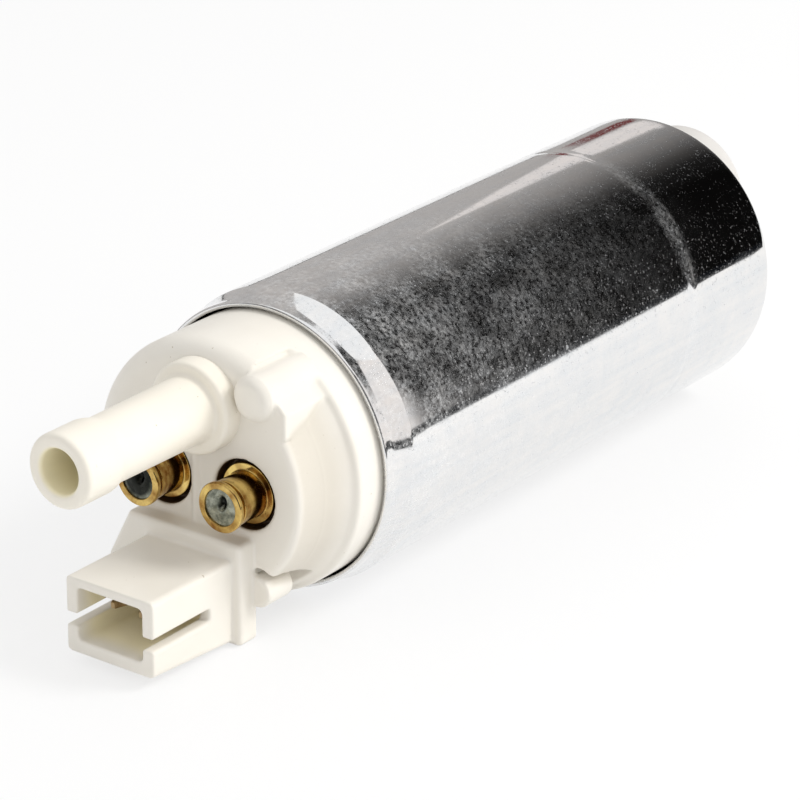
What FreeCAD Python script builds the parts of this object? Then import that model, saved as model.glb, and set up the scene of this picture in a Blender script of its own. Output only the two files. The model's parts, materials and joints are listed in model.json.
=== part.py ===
import FreeCAD, Part
import math
import os
import Sketcher

# Electric in-tank fuel pump. The pump lies on its side: its axis is Y, the outlet end faces -Y
# and the electrical connector is at the bottom, -Z. Lengths are in millimetres.
# Every piece is drawn with the shell's front lip at y = 0. Its placement then moves it so that
# the origin is the middle of the barrel, on its axis.

doc = FreeCAD.newDocument("FuelPump")

# Driving dimensions. A word that ends in _y is a distance along the axis from the front lip,
# negative in front of it.
values = {
    # Steel shell
    "barrel_r": 21.5,
    "barrel_length": 98.0,
    "wall": 1.2,
    "lip_wall": 0.9,
    "lip_gap": 0.4,
    "band_y": 3.6,
    "step_y": 4.6,
    "groove_back": 21.5,
    "groove_length": 3.0,
    "groove_depth": 0.2,
    "rear_round": 3.0,
    "roll_depth": 3.9,
    # Clearances
    "fit_gap": 0.05,
    "run_gap": 0.05,
    "free_gap": 0.3,
    # Outlet cap
    "cap_inset": 2.0,
    "cap_skirt_y": 15.0,
    "cap_plate_y": 3.0,
    "cap_skirt_wall": 1.9,
    "cap_seal_y": 8.4,
    "ledge_y": -5.0,
    "ledge_round": 0.8,
    "disc_inset": 3.2,
    "face_y": -13.9,
    "face_round": 0.9,
    "cone_inset": 2.4,
    "cone_y": -9.0,
    "crown_round": 3.0,
    "crown_start": 175.0,
    "crown_sweep": 108.0,
    "crown_left": 14.1,
    "crown_left_z": 1.9,
    "crown_left_rise": 2.1,
    "left_round": 7.3,
    "rib_x": -1.2,
    "rib_width": 0.9,
    "rib_height": 0.4,
    "hub_r": 4.3,
    "hub_y": 12.0,
    # Outlet tube and check valve
    "outlet_inset": 8.4,
    "tube_r": 4.75,
    "tube_bore": 3.4,
    "tube_tip_y": -42.7,
    "bead_r": 5.2,
    "bead_length": 6.7,
    "tip_round": 0.9,
    "collar_r": 7.0,
    "collar_height": 4.6,
    "collar_round": 1.7,
    "collar_groove": 0.8,
    "spigot_r": 5.5,
    "spigot_length": 7.6,
    "chamber_y": 0.0,
    "outlet_port_r": 2.2,
    "valve_r": 4.0,
    "valve_head": 1.4,
    "stem_r": 1.15,
    "stem_length": 6.2,
    "guide_thick": 1.2,
    "valve_spring_r": 2.2,
    # Relief valve
    "relief_side": 0.4718,
    "relief_rise": 0.7282,
    "relief_r": 3.2,
    "relief_y": -15.7,
    "relief_round": 1.2,
    "relief_bore": 1.55,
    "relief_cavity_y": -13.0,
    "relief_ball_r": 1.45,
    "relief_seat_y": -3.0,
    "relief_seat_r": 2.2,
    "relief_way_r": 0.9,
    "relief_vent_r": 0.35,
    "relief_nose": 1.0,
    "buttress_reach": 4.8,
    "buttress_drop": 5.1,
    "buttress_inset": 0.55,
    # Locating post and the notch round it
    "post_side": 0.4769,
    "post_drop": 0.7179,
    "post_r": 2.25,
    "post_root": 1.0,
    "post_end_y": -9.0,
    "notch_r": 3.4,
    "notch_y": -6.0,
    # Connector
    "flange_y": -17.0,
    "flange_thick": 3.7,
    "flange_height": 15.0,
    "flange_right": 8.7,
    "flange_left": -10.7,
    "flange_flare": 3.8,
    "flare_height": 7.5,
    "flange_round": 0.8,
    "neck_left": -9.4,
    "neck_right": 7.4,
    "hood_y": -33.6,
    "hood_half": 7.46,
    "hood_height": 12.7,
    "hood_lift": 0.5,
    "hood_rise": 1.2,
    "hood_round": 0.7,
    "hood_wall": 1.9,
    "hood_roof": 1.4,
    "hood_floor_y": -19.0,
    "slot_rise": 7.4,
    "slot_height": 1.8,
    "slot_end_y": -21.8,
    # Blade terminals
    "blade_x": 2.45,
    "blade_height": 8.2,
    "blade_width": 2.8,
    "blade_thick": 0.8,
    "blade_tip_y": -29.9,
    "blade_point": 3.0,
    "blade_tip_width": 0.7,
    "strap_y": -10.0,
    "strap_ring": 0.8,
    # Brush holders
    "brush_x": 7.1,
    "brush_z": -0.4,
    "pocket_r": 5.05,
    "pocket_ring": 0.75,
    "pocket_y": -11.2,
    "cup_tip_y": -19.1,
    "cup_lip_r": 3.6,
    "cup_lip": 0.8,
    "cup_neck_r": 2.95,
    "cup_neck": 0.6,
    "cup_r": 3.3,
    "cup_flange_r": 4.5,
    "cup_flange": 0.7,
    "cup_flange_y": -12.5,
    "cup_end_y": 9.5,
    "cup_bore": 2.6,
    "solder_depth": 1.6,
    "solder_dish": 0.25,
    "solder_pit_r": 0.7,
    "solder_pit": 0.9,
    "brush_r": 2.52,
    "brush_length": 11.0,
    "brush_spring_r": 2.1,
    "lead_r": 0.45,
    # Armature
    "shaft_r": 1.5,
    "shaft_front_y": 6.5,
    "flat_depth": 0.45,
    "bush_r": 3.0,
    "bush_y": 8.0,
    "washer_r": 2.6,
    "washer_thick": 0.5,
    "comm_y": 16.0,
    "comm_r": 11.0,
    "comm_hole": 3.6,
    "comm_thick": 2.0,
    "comm_slot": 0.5,
    "comm_base_r": 11.6,
    "comm_base": 4.0,
    "sleeve_r": 2.9,
    "core_y": 31.0,
    "core_rear_room": 9.0,
    "slot_count": 8.0,
    "slot_mouth": 1.4,
    "slot_inner_r": 5.6,
    "slot_rim": 1.3,
    "slot_inner_width": 2.4,
    "slot_share": 0.5833,
    "slot_shoulder": 1.2,
    "insulator_thick": 0.8,
    "winding_front": 4.6,
    "winding_rear": 4.0,
    "winding_inset": 0.9,
    "winding_hole": 4.0,
    "winding_round": 1.6,
    "air_gap": 0.8,
    "magnet_overhang": 4.0,
    "magnet_thick": 6.15,
    "magnet_angle": 150.0,
    "clip_thick": 0.6,
    "clip_angle": 28.0,
    # Pump section
    "pump_back": 28.0,
    "pump_body_thick": 8.0,
    "pump_hub_r": 5.0,
    "pump_hub": 2.6,
    "pump_bush_depth": 3.0,
    "impeller_inset": 4.5,
    "impeller_thick": 3.8,
    "impeller_gap": 0.1,
    "vane_count": 32.0,
    "vane_depth": 3.2,
    "vane_gap": 2.0,
    "channel_inset": 1.7,
    "channel_width": 1.5,
    "channel_angle": 290.0,
    "port_r": 1.6,
    "inlet_plate_thick": 5.0,
    "button_r": 2.4,
    "button_thick": 2.2,
    # Inlet cover
    "cover_seal_back": 8.0,
    "cover_recess": 3.6,
    "cover_wall": 2.2,
    "cover_face": 0.5,
    "boss_z": 7.2,
    "boss_r": 10.7,
    "boss_length": 9.3,
    "boss_wall": 1.7,
    "boss_round": 0.8,
    "socket_depth": 5.0,
    "inlet_r": 5.5,
    # Seals: radius of the cord's section
    "seal_cord": 0.6,
    "small_cord": 0.5,
    # Springs and the bevel on the brushes
    "spring_wall": 0.4,
    "brush_bevel": 0.3,
}

# Sizes that follow from the driving dimensions.
follows = {
    # Across the pump
    "cap_r": "barrel_r - cap_inset",
    "lip_r": "cap_r + lip_gap",
    "rear_roll": "barrel_r - roll_depth",
    "disc_r": "cap_r - disc_inset",
    "cone_r": "cap_r - cone_inset",
    "outlet_z": "cap_r - outlet_inset",
    "relief_x": "cap_r * relief_side",
    "relief_z": "cap_r * relief_rise",
    "buttress_x": "relief_x + buttress_reach",
    "buttress_z": "relief_z - buttress_drop",
    "buttress_r": "cap_r - buttress_inset",
    "post_x": "cap_r * post_side",
    "post_z": "0 - cap_r * post_drop",
    "core_r": "barrel_r - wall - fit_gap - magnet_thick - air_gap",
    "slot_outer_r": "core_r - slot_rim",
    "slot_outer_width": "slot_outer_r * slot_share",
    "winding_r": "core_r - winding_inset",
    "impeller_r": "barrel_r - impeller_inset",
    "channel_r": "impeller_r - channel_inset",
    # Connector, up from the barrel's lowest line
    "flange_top": "flange_height - barrel_r",
    "flange_flare_z": "flare_height - barrel_r",
    "hood_top": "hood_height - barrel_r",
    "hood_low_rear": "hood_lift - barrel_r",
    "hood_low_front": "hood_low_rear + hood_rise",
    "slot_top": "slot_rise - barrel_r",
    "blade_z": "blade_height - barrel_r",
    # Along the pump
    "groove_y": "barrel_length - groove_back",
    "pump_y": "barrel_length - pump_back",
    "cover_seal_y": "barrel_length - cover_seal_back",
    "boss_y": "barrel_length + boss_length",
    "core_length": "pump_y - core_rear_room - core_y",
    "magnet_y": "core_y - magnet_overhang",
    "magnet_length": "core_length + magnet_overhang * 2",
}

sizes = doc.addObject("Spreadsheet::Sheet", "Sizes")
words = [*values, *follows]
for row, word in enumerate(words, start=1):
    sizes.set(f"A{row}", word)
    sizes.setAlias(f"B{row}", word)
for row, word in enumerate(words, start=1):
    sizes.set(f"B{row}", "=" + follows[word] if word in follows else str(values[word]))
doc.recompute()

# Sums of the sizes that several pieces share.
BORE_R = "barrel_r - wall"
PRESSED_R = "barrel_r - wall - fit_gap"
IMPELLER_ROOM_Y = "pump_y + pump_body_thick - impeller_thick - impeller_gap * 2"
PLATE_Y = "pump_y + pump_body_thick"
COVER_Y = "pump_y + pump_body_thick + inlet_plate_thick"
HUB_WASHER_Y = "hub_y + run_gap * 2"
REAR_WASHER_Y = "pump_y - pump_hub - run_gap * 2 - washer_thick"
BRUSH_Y = "comm_y - run_gap * 2 - brush_length"
GUIDE_Y = "face_y + spigot_length"
CORE_END_Y = "core_y + core_length"


def size(word):
    if word in follows:
        return amount(follows[word])
    return values[word] if word in values else float(word)


# A text such as "barrel_r - wall / 2" names a size. amount gives its number, and formula the
# expression that binds a property to the sheet.
def amount(text):
    total = 0.0
    product = None
    sign = 1.0
    divide = False
    for token in text.split():
        if token in ("+", "-"):
            total += sign * product
            sign = 1.0 if token == "+" else -1.0
            product = None
        elif token in ("*", "/"):
            divide = token == "/"
        else:
            number = size(token)
            if product is None:
                product = number
            else:
                product = product / number if divide else product * number
    return total + sign * product


def formula(text):
    return " ".join("Sizes." + token if token in words else token for token in text.split())


def bind(target, path, text):
    target.setExpression(path, formula(text))


# Sets an object's position. The texts are X, Y and Z.
def move(piece, across, along, up):
    bind(piece, ".Placement.Base.x", across)
    bind(piece, ".Placement.Base.y", along)
    bind(piece, ".Placement.Base.z", up)
    return piece


# Moves a finished piece to the frame of the whole pump.
def place(piece, across="0", up="0", along="0"):
    return move(piece, across, along + " - barrel_length / 2", up)


def centre_of_arc(start, end, radius, turn):
    chord = end - start
    rise = math.sqrt(max(radius ** 2 - (chord.Length / 2) ** 2, 0.0))
    left = FreeCAD.Vector(-chord.y, chord.x, 0).normalize()
    return (start + end) * 0.5 + left * (rise if turn == "left" else -rise)


def add_stretch(sketch, start, end, stretch):
    if not stretch:
        return sketch.addGeometry(Part.LineSegment(start, end), False)
    radius = amount(stretch[0])
    middle = centre_of_arc(start, end, radius, stretch[1])
    first, last = (start, end) if stretch[1] == "left" else (end, start)
    angles = [math.atan2(point.y - middle.y, point.x - middle.x) for point in (first, last)]
    circle = Part.Circle(middle, FreeCAD.Vector(0, 0, 1), radius)
    return sketch.addGeometry(Part.ArcOfCircle(circle, *angles), False)


# Closed outline in a sketch. A point is (across, up), or (across, up, radius, turn) where an arc
# of that radius leads to it, turning left or right. Every number is bound to the sheet.
def outline(body, plane, points, offset="0"):
    sketch = body.newObject("Sketcher::SketchObject", body.Name + "_outline")
    support = [item for item in body.Origin.OriginFeatures if item.Role == plane][0]
    sketch.AttachmentSupport = [(support, "")]
    sketch.MapMode = "FlatFace"
    bind(sketch, ".AttachmentOffset.Base.z", offset)
    places = [FreeCAD.Vector(amount(point[0]), amount(point[1]), 0) for point in points]
    stretches = [point[2:] for point in points]
    edges = []
    for index, stretch in enumerate(stretches):
        edges.append(add_stretch(sketch, places[index - 1], places[index], stretch))
    ends = [1 if stretch and stretch[1] == "right" else 2 for stretch in stretches]
    for index, point in enumerate(points):
        following = (index + 1) % len(points)
        corner = (edges[index], ends[index], edges[following], 3 - ends[following])
        sketch.addConstraint(Sketcher.Constraint("Coincident", *corner))
        for kind, text in (("DistanceX", point[0]), ("DistanceY", point[1])):
            rule = Sketcher.Constraint(kind, -1, 1, edges[index], ends[index], amount(text))
            bind(sketch, f"Constraints[{sketch.addConstraint(rule)}]", text)
        if stretches[index]:
            rule = Sketcher.Constraint("Radius", edges[index], amount(point[2]))
            bind(sketch, f"Constraints[{sketch.addConstraint(rule)}]", point[2])
    sketch.Visibility = False
    return sketch


def new_body(name):
    return doc.addObject("PartDesign::Body", name)


# Turned piece round the axis: the outline's points are (radius, distance along the axis).
def turned(name, points, angle="360", midplane=False):
    body = new_body(name)
    sketch = outline(body, "XY_Plane", points)
    feature = body.newObject("PartDesign::Revolution", name + "_turned")
    feature.Profile = sketch
    feature.ReferenceAxis = (sketch, ["V_Axis"])
    feature.Midplane = midplane
    bind(feature, "Angle", angle)
    return body


# A plain ring: both radii, where it starts and how long it is.
def ring(name, inner, outer, start_y, length):
    return turned(name, [
        (inner, start_y),
        (outer, start_y),
        (outer, f"{start_y} + {length}"),
        (inner, f"{start_y} + {length}"),
    ])


# Outline seen from the front, padded forwards from end_y.
def padded(name, points, end_y, length):
    body = new_body(name)
    pad = body.newObject("PartDesign::Pad", name + "_pad")
    pad.Profile = outline(body, "XZ_Plane", points)
    bind(pad, "Length", length)
    return move(body, "0", end_y, "0")


# Solid cylinder along the axis.
def rod(name, radius, start_y, length, across="0", up="0"):
    piece = doc.addObject("Part::Cylinder", name)
    bind(piece, "Radius", radius)
    bind(piece, "Height", length)
    piece.Placement.Rotation = FreeCAD.Rotation(FreeCAD.Vector(1, 0, 0), -90)
    return move(piece, across, start_y, up)


# Box from its lowest corner and its sizes along X, Y and Z.
def block(name, corner, lengths):
    piece = doc.addObject("Part::Box", name)
    for path, text in zip(("Length", "Width", "Height"), lengths):
        bind(piece, path, text)
    return move(piece, *corner)


def joined(name, pieces):
    result = doc.addObject("Part::MultiFuse", name)
    result.Shapes = pieces
    return result


def cut(name, base, tools):
    result = doc.addObject("Part::Cut", name)
    result.Base = base
    result.Tool = tools[0] if len(tools) == 1 else joined(name + "_tools", tools)
    return result


def common(name, first, second):
    result = doc.addObject("Part::Common", name)
    result.Base = first
    result.Tool = second
    return result


# The same piece on the other side of the middle plane.
def mirrored(name, source):
    result = doc.addObject("Part::Mirroring", name)
    result.Source = source
    result.Normal = FreeCAD.Vector(1, 0, 0)
    return result


def pair(name, piece):
    return [piece, mirrored(name + "_mirrored", piece)]


# Turns a piece about the pump's axis, from +X towards -Z.
def spun(name, piece, angle):
    result = doc.addObject("Part::Compound", name)
    result.Links = [piece]
    result.Placement.Rotation = FreeCAD.Rotation(FreeCAD.Vector(0, 1, 0), amount(angle))
    bind(result, ".Placement.Rotation.Angle", angle)
    return result


# Rounds the edges of a body's last feature that the test picks.
def round_edges(body, radius, picked):
    doc.recompute()
    base = body.Tip
    edges = enumerate(base.Shape.Edges, start=1)
    names = [f"Edge{number}" for number, edge in edges if picked(edge)]
    fillet = body.newObject("PartDesign::Fillet", body.Name + "_rounded")
    fillet.Base = (base, names)
    bind(fillet, "Radius", radius)
    return fillet


# Repeats one pocket round the axis. The outline is seen from the front, and the pocket runs
# backwards from the body's own y = 0.
def repeat_pocket(body, points, length, count):
    doc.recompute()
    before = body.Shape.Volume
    pocket = body.newObject("PartDesign::Pocket", body.Name + "_pocket")
    sketch = outline(body, "XZ_Plane", points)
    pocket.Profile = sketch
    bind(pocket, "Length", length)
    pattern = body.newObject("PartDesign::PolarPattern", body.Name + "_pattern")
    pattern.Originals = [pocket]
    pattern.Axis = (sketch, ["N_Axis"])
    pattern.Angle = 360
    bind(pattern, "Occurrences", count)
    body.Tip = pattern
    doc.recompute()
    if body.Shape.Volume > before * 0.99:
        raise RuntimeError(body.Name + ": the pocket cuts nothing")
    return body


# Rounded rectangle as outline points, counter-clockwise from the lower left.
def rounded_box(left, low, right, top, radius):
    return [
        (f"{left} + {radius}", low, radius, "left"),
        (f"{right} - {radius}", low),
        (right, f"{low} + {radius}", radius, "left"),
        (right, f"{top} - {radius}"),
        (f"{right} - {radius}", top, radius, "left"),
        (f"{left} + {radius}", top),
        (left, f"{top} - {radius}", radius, "left"),
        (left, f"{low} + {radius}"),
    ]


# The finished pieces by name.
nodes = {}


def hand_over(name, piece):
    piece.Label = name
    nodes[name] = piece


# Hands over a placed right-hand piece and its mirror image.
def hand_over_pair(name, piece):
    hand_over(name + "_right", piece)
    hand_over(name + "_left", mirrored(name + "_left", piece))


# Rubber ring of round section.
def make_seal(name, middle_r, cord, middle_y, up="0"):
    piece = doc.addObject("Part::Torus", name)
    bind(piece, "Radius1", middle_r)
    bind(piece, "Radius2", cord)
    piece.Placement.Rotation = FreeCAD.Rotation(FreeCAD.Vector(1, 0, 0), -90)
    hand_over(name, place(piece, "0", up, middle_y))


# Steel shell: swaged lip in front, shallow roll groove round the pump section, rolled rear edge.
def make_shell():
    shell = turned("shell", [
        ("lip_r", "lip_wall / 2"),
        ("lip_r + lip_wall / 2", "0", "lip_wall / 2", "left"),
        ("lip_r + lip_wall", "lip_wall / 2", "lip_wall / 2", "left"),
        ("lip_r + lip_wall", "band_y"),
        ("barrel_r", "step_y"),
        ("barrel_r", "groove_y"),
        ("barrel_r - groove_depth", "groove_y + groove_length / 4"),
        ("barrel_r - groove_depth", "groove_y + groove_length * 3 / 4"),
        ("barrel_r", "groove_y + groove_length"),
        ("barrel_r", "barrel_length - rear_round"),
        ("barrel_r - rear_round", "barrel_length", "rear_round", "left"),
        ("rear_roll", "barrel_length"),
        ("rear_roll", "barrel_length - wall"),
        ("barrel_r - rear_round", "barrel_length - wall"),
        (BORE_R, "barrel_length - rear_round", "rear_round - wall", "right"),
        (BORE_R, "groove_y + groove_length + wall / 2"),
        (BORE_R + " - groove_depth", "groove_y + groove_length * 3 / 4"),
        (BORE_R + " - groove_depth", "groove_y + groove_length / 4"),
        (BORE_R, "groove_y - wall / 2"),
        (BORE_R, "step_y + lip_wall"),
        ("lip_r", "band_y + lip_wall"),
    ])
    hand_over("shell", place(shell))


# Groove for a seal in a piece that fills the barrel, as outline points.
def seal_groove(middle_y):
    floor_r = BORE_R + " - seal_cord * 2"
    start_y = f"{middle_y} - seal_cord - fit_gap * 2"
    end_y = f"{middle_y} + seal_cord + fit_gap * 2"
    return [(PRESSED_R, start_y), (floor_r, start_y), (floor_r, end_y), (PRESSED_R, end_y)]


# Turned core of the outlet cap: ledge in front of the lip, cone, raised disc, shoulder under the
# swaged lip, groove for the seal and the skirt that reaches into the barrel.
def cap_core():
    return turned("cap_core", [
        ("0", "cap_plate_y"),
        ("0", "face_y"),
        ("disc_r - face_round", "face_y"),
        ("disc_r", "face_y + face_round", "face_round", "left"),
        ("cone_r", "cone_y"),
        ("cap_r - ledge_round", "ledge_y"),
        ("cap_r", "ledge_y + ledge_round", "ledge_round", "left"),
        ("cap_r", "band_y + lip_wall"),
        ("lip_r - fit_gap", "band_y + lip_wall"),
        (PRESSED_R, "step_y + lip_wall"),
        *seal_groove("cap_seal_y"),
        (PRESSED_R, "cap_skirt_y"),
        (PRESSED_R + " - cap_skirt_wall", "cap_skirt_y"),
        (PRESSED_R + " - cap_skirt_wall", "cap_plate_y"),
    ])


# Crown of the cap: the upper part that keeps nearly the full radius as far as the front face.
def cap_crown():
    crown = turned("cap_crown", [
        ("0", "ledge_y"),
        ("0", "face_y"),
        ("cap_r - crown_round", "face_y"),
        ("cap_r", "face_y + crown_round", "crown_round", "left"),
        ("cap_r", "ledge_y + ledge_round"),
        ("cap_r - ledge_round", "ledge_y + ledge_round"),
        ("cap_r - ledge_round", "ledge_y"),
    ], "crown_sweep")
    crown.Placement.Rotation = FreeCAD.Rotation(FreeCAD.Vector(0, -1, 0), amount("crown_start"))
    bind(crown, ".Placement.Rotation.Angle", "crown_start")
    return crown


# What is cut away at the lower left, down to the ledge: the face ends in a round about the left
# brush holder.
def lower_left_cut():
    return padded("lower_left", [
        ("0 - barrel_r * 1.2", "0 - barrel_r * 1.2"),
        ("0 - brush_x", "0 - barrel_r * 1.2"),
        ("0 - brush_x", "brush_z - left_round"),
        ("0 - brush_x - left_round", "brush_z", "left_round", "right"),
        ("0 - crown_left", "crown_left_z"),
        ("0 - barrel_r * 1.2", "crown_left_z + crown_left_rise"),
    ], "ledge_y", "ledge_y - face_y + 1")


# Connector: the flange that stands on the face, its neck inside the barrel's outline and the
# hood, whose underside rises towards the front.
def connector_solid():
    flange = padded("flange", [
        ("flange_left", "flange_top"),
        ("flange_left - flange_flare", "flange_flare_z"),
        ("flange_left", "flange_flare_z - flange_flare"),
        ("flange_left + flange_flare", "0 - barrel_r"),
        ("flange_right - flange_round", "0 - barrel_r"),
        ("flange_right", "flange_round - barrel_r", "flange_round", "left"),
        ("flange_right", "flange_top - flange_round"),
        ("flange_right - flange_round", "flange_top", "flange_round", "left"),
    ], "flange_y + flange_thick", "flange_thick")
    front = -amount("flange_thick")
    round_edges(flange, "flange_round * 0.9",
                lambda edge: all(abs(point.Y - front) < 1e-4 for point in edge.Vertexes))
    hood = new_body("hood")
    left = "0 - hood_half"
    shroud = hood.newObject("PartDesign::AdditiveLoft", "hood_shroud")
    shroud.Profile = outline(hood, "XZ_Plane", rounded_box(
        left, "hood_low_rear", "hood_half", "hood_top", "hood_round"))
    shroud.Sections = [outline(hood, "XZ_Plane", rounded_box(
        left, "hood_low_front", "hood_half", "hood_top", "hood_round"), "flange_y - hood_y")]
    shroud.Ruled = True
    return [flange, move(hood, "0", "flange_y", "0")]


def connector_neck():
    body = block(
        "neck_block",
        ("neck_left", "flange_y + flange_thick", "0 - cap_r"),
        ("neck_right - neck_left", "ledge_y - flange_y - flange_thick", "cap_r + flange_top"),
    )
    limit = rod("neck_limit", "cap_r - ledge_round", "flange_y", "ledge_y - flange_y")
    return common("neck", body, limit)


# Space inside the hood and the slots along its sides.
def connector_space():
    cavity = padded("hood_cavity", rounded_box(
        "hood_wall - hood_half", "hood_low_front + hood_wall",
        "hood_half - hood_wall", "hood_top - hood_roof", "hood_round",
    ), "hood_floor_y", "hood_floor_y - hood_y + 1")
    slots = block(
        "hood_slots",
        ("0 - hood_half - 1", "hood_y - 1", "slot_top - slot_height"),
        ("hood_half * 2 + 2", "slot_end_y - hood_y + 1", "slot_height"),
    )
    return [cavity, slots]


# Relief valve housing: a round boss along the axis and the buttress beside it, both inside the
# cap's outline.
def relief_housing():
    boss = turned("relief_boss", [
        ("0", "relief_y"),
        ("relief_r - relief_round", "relief_y"),
        ("relief_r", "relief_y + relief_round", "relief_round", "left"),
        ("relief_r", "ledge_y + 1"),
        ("0", "ledge_y + 1"),
    ])
    web = block(
        "relief_web",
        ("relief_x - relief_r / 2", "face_y", "buttress_z"),
        ("buttress_x - relief_x + relief_r / 2", "ledge_y - face_y + 1", "barrel_r"),
    )
    limit = rod("relief_limit", "buttress_r", "face_y - 1", "ledge_y - face_y + 3")
    return [move(boss, "relief_x", "0", "relief_z"), common("buttress", web, limit)]


# Bore for the right brush holder: a wide pocket in front, a narrow moat round its seat and the
# bore itself.
def brush_bore():
    pocket = rod("pocket", "pocket_r", "face_y - 1", "cup_flange_y - face_y + 1",
                 "brush_x", "brush_z")
    moat = ring("moat", "pocket_r - pocket_ring", "pocket_r", "face_y - 1", "pocket_y - face_y + 1")
    bore = rod("cup_room", "cup_r + fit_gap", "face_y - 1", "hub_y - face_y + 2",
               "brush_x", "brush_z")
    return [pocket, move(moat, "brush_x", "0", "brush_z"), bore]


# Room for the check valve, the relief valve and the front bearing.
def inner_bores():
    chamber = rod("chamber", "spigot_r + fit_gap", "face_y - 1", "chamber_y - face_y + 1",
                  "0", "outlet_z")
    port = rod("outlet_port", "outlet_port_r", "chamber_y - 1", "cap_plate_y - chamber_y + 2",
               "0", "outlet_z")
    relief = rod("relief_room", "relief_bore", "relief_cavity_y",
                 "relief_seat_y - relief_cavity_y + 1", "relief_x", "relief_z")
    seat = rod("seat_room", "relief_seat_r + fit_gap", "relief_seat_y",
               "cap_plate_y - relief_seat_y + 1", "relief_x", "relief_z")
    way = rod("relief_way", "relief_way_r", "relief_y + relief_nose",
              "relief_cavity_y - relief_y - relief_nose + 1", "relief_x", "relief_z")
    vent = doc.addObject("Part::Cylinder", "relief_vent")
    bind(vent, "Radius", "relief_vent_r")
    bind(vent, "Height", "relief_r * 1.5")
    vent.Placement.Rotation = FreeCAD.Rotation(FreeCAD.Vector(0, 1, 0), 180)
    move(vent, "relief_x", "relief_y + relief_nose + relief_vent_r", "relief_z")
    bearing = rod("bearing_room", "bush_r + fit_gap", "bush_y", "hub_y - bush_y + 1")
    tail = rod("shaft_room", "shaft_r + free_gap", "shaft_front_y - free_gap",
               "hub_y - shaft_front_y + 1")
    return [chamber, port, relief, seat, way, vent, bearing, tail]


# Moulded outlet cap.
def make_cap():
    notch = rod("notch", "notch_r", "face_y - 1", "notch_y - face_y + 1", "post_x", "post_z")
    base = joined("cap_base", [cap_core(), cap_crown(), connector_neck()])
    base = cut("cap_face", base, [notch, lower_left_cut()])
    left_neck = block(
        "left_neck",
        ("neck_left", "flange_y + flange_thick", "0 - cap_r / 2"),
        ("0 - neck_left", "ledge_y - flange_y - flange_thick", "cap_r / 2 + flange_top"),
    )
    post_y = "flange_y + flange_thick - post_root"
    post = rod("post", "post_r", post_y, "post_end_y - flange_y - flange_thick + post_root",
               "post_x", "post_z")
    rib = block(
        "pocket_rib",
        ("rib_x - rib_width / 2", "face_y - rib_height", "flange_top"),
        ("rib_width", "rib_height + 1", "outlet_z - collar_r - flange_top"),
    )
    hub = rod("hub", "hub_r", "cap_plate_y - 1", "hub_y - cap_plate_y + 1")
    sleeve = rod("cup_sleeve", "cup_r + cap_skirt_wall / 2", "cap_plate_y - 1",
                 "cup_end_y - cap_plate_y + 1.5", "brush_x", "brush_z")
    solid = joined("cap_solid", [
        base, left_neck, post, rib, hub, *pair("cup_sleeve", sleeve), *connector_solid(),
        *relief_housing(),
    ])
    collar_room = rod("collar_room", "collar_r + run_gap * 2", "relief_y - 1",
                      "face_y - relief_y + 1", "0", "outlet_z")
    holes = [collar_room, *connector_space(), *inner_bores()]
    for tool in brush_bore() + [terminal("terminal_room")]:
        holes += pair(tool.Name, tool)
    hand_over("outlet_cap", place(cut("outlet_cap", solid, holes)))
    make_seal("cap_seal", BORE_R + " - seal_cord", "seal_cord - fit_gap / 2", "cap_seal_y")


# Right-hand blade with a tapered point, and the strap that carries the current up to an eye round
# the brush holder.
def terminal(name):
    half = "blade_width / 2"
    blade = new_body(name + "_blade")
    pad = blade.newObject("PartDesign::Pad", name + "_pad")
    pad.Profile = outline(blade, "XY_Plane", [
        (f"blade_x - {half}", "strap_y"),
        (f"blade_x - {half}", "blade_tip_y + blade_point"),
        ("blade_x - blade_tip_width / 2", "blade_tip_y"),
        ("blade_x + blade_tip_width / 2", "blade_tip_y"),
        (f"blade_x + {half}", "blade_tip_y + blade_point"),
        (f"blade_x + {half}", "strap_y"),
    ], "blade_z - blade_thick / 2")
    bind(pad, "Length", "blade_thick")
    strap = padded(name + "_strap", [
        (f"blade_x - {half}", "blade_z - blade_thick / 2"),
        (f"blade_x + {half}", "blade_z - blade_thick / 2"),
        ("brush_x + cup_r", "brush_z"),
        ("brush_x - cup_r", "brush_z"),
    ], "strap_y", "blade_thick")
    eye = rod(name + "_eye", "cup_r + strap_ring", "strap_y - blade_thick", "blade_thick",
              "brush_x", "brush_z")
    hole = rod(name + "_hole", "cup_r", "strap_y - blade_thick - 1", "blade_thick + 2",
               "brush_x", "brush_z")
    return cut(name, joined(name + "_solid", [blade, strap, eye]), [hole])


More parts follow.
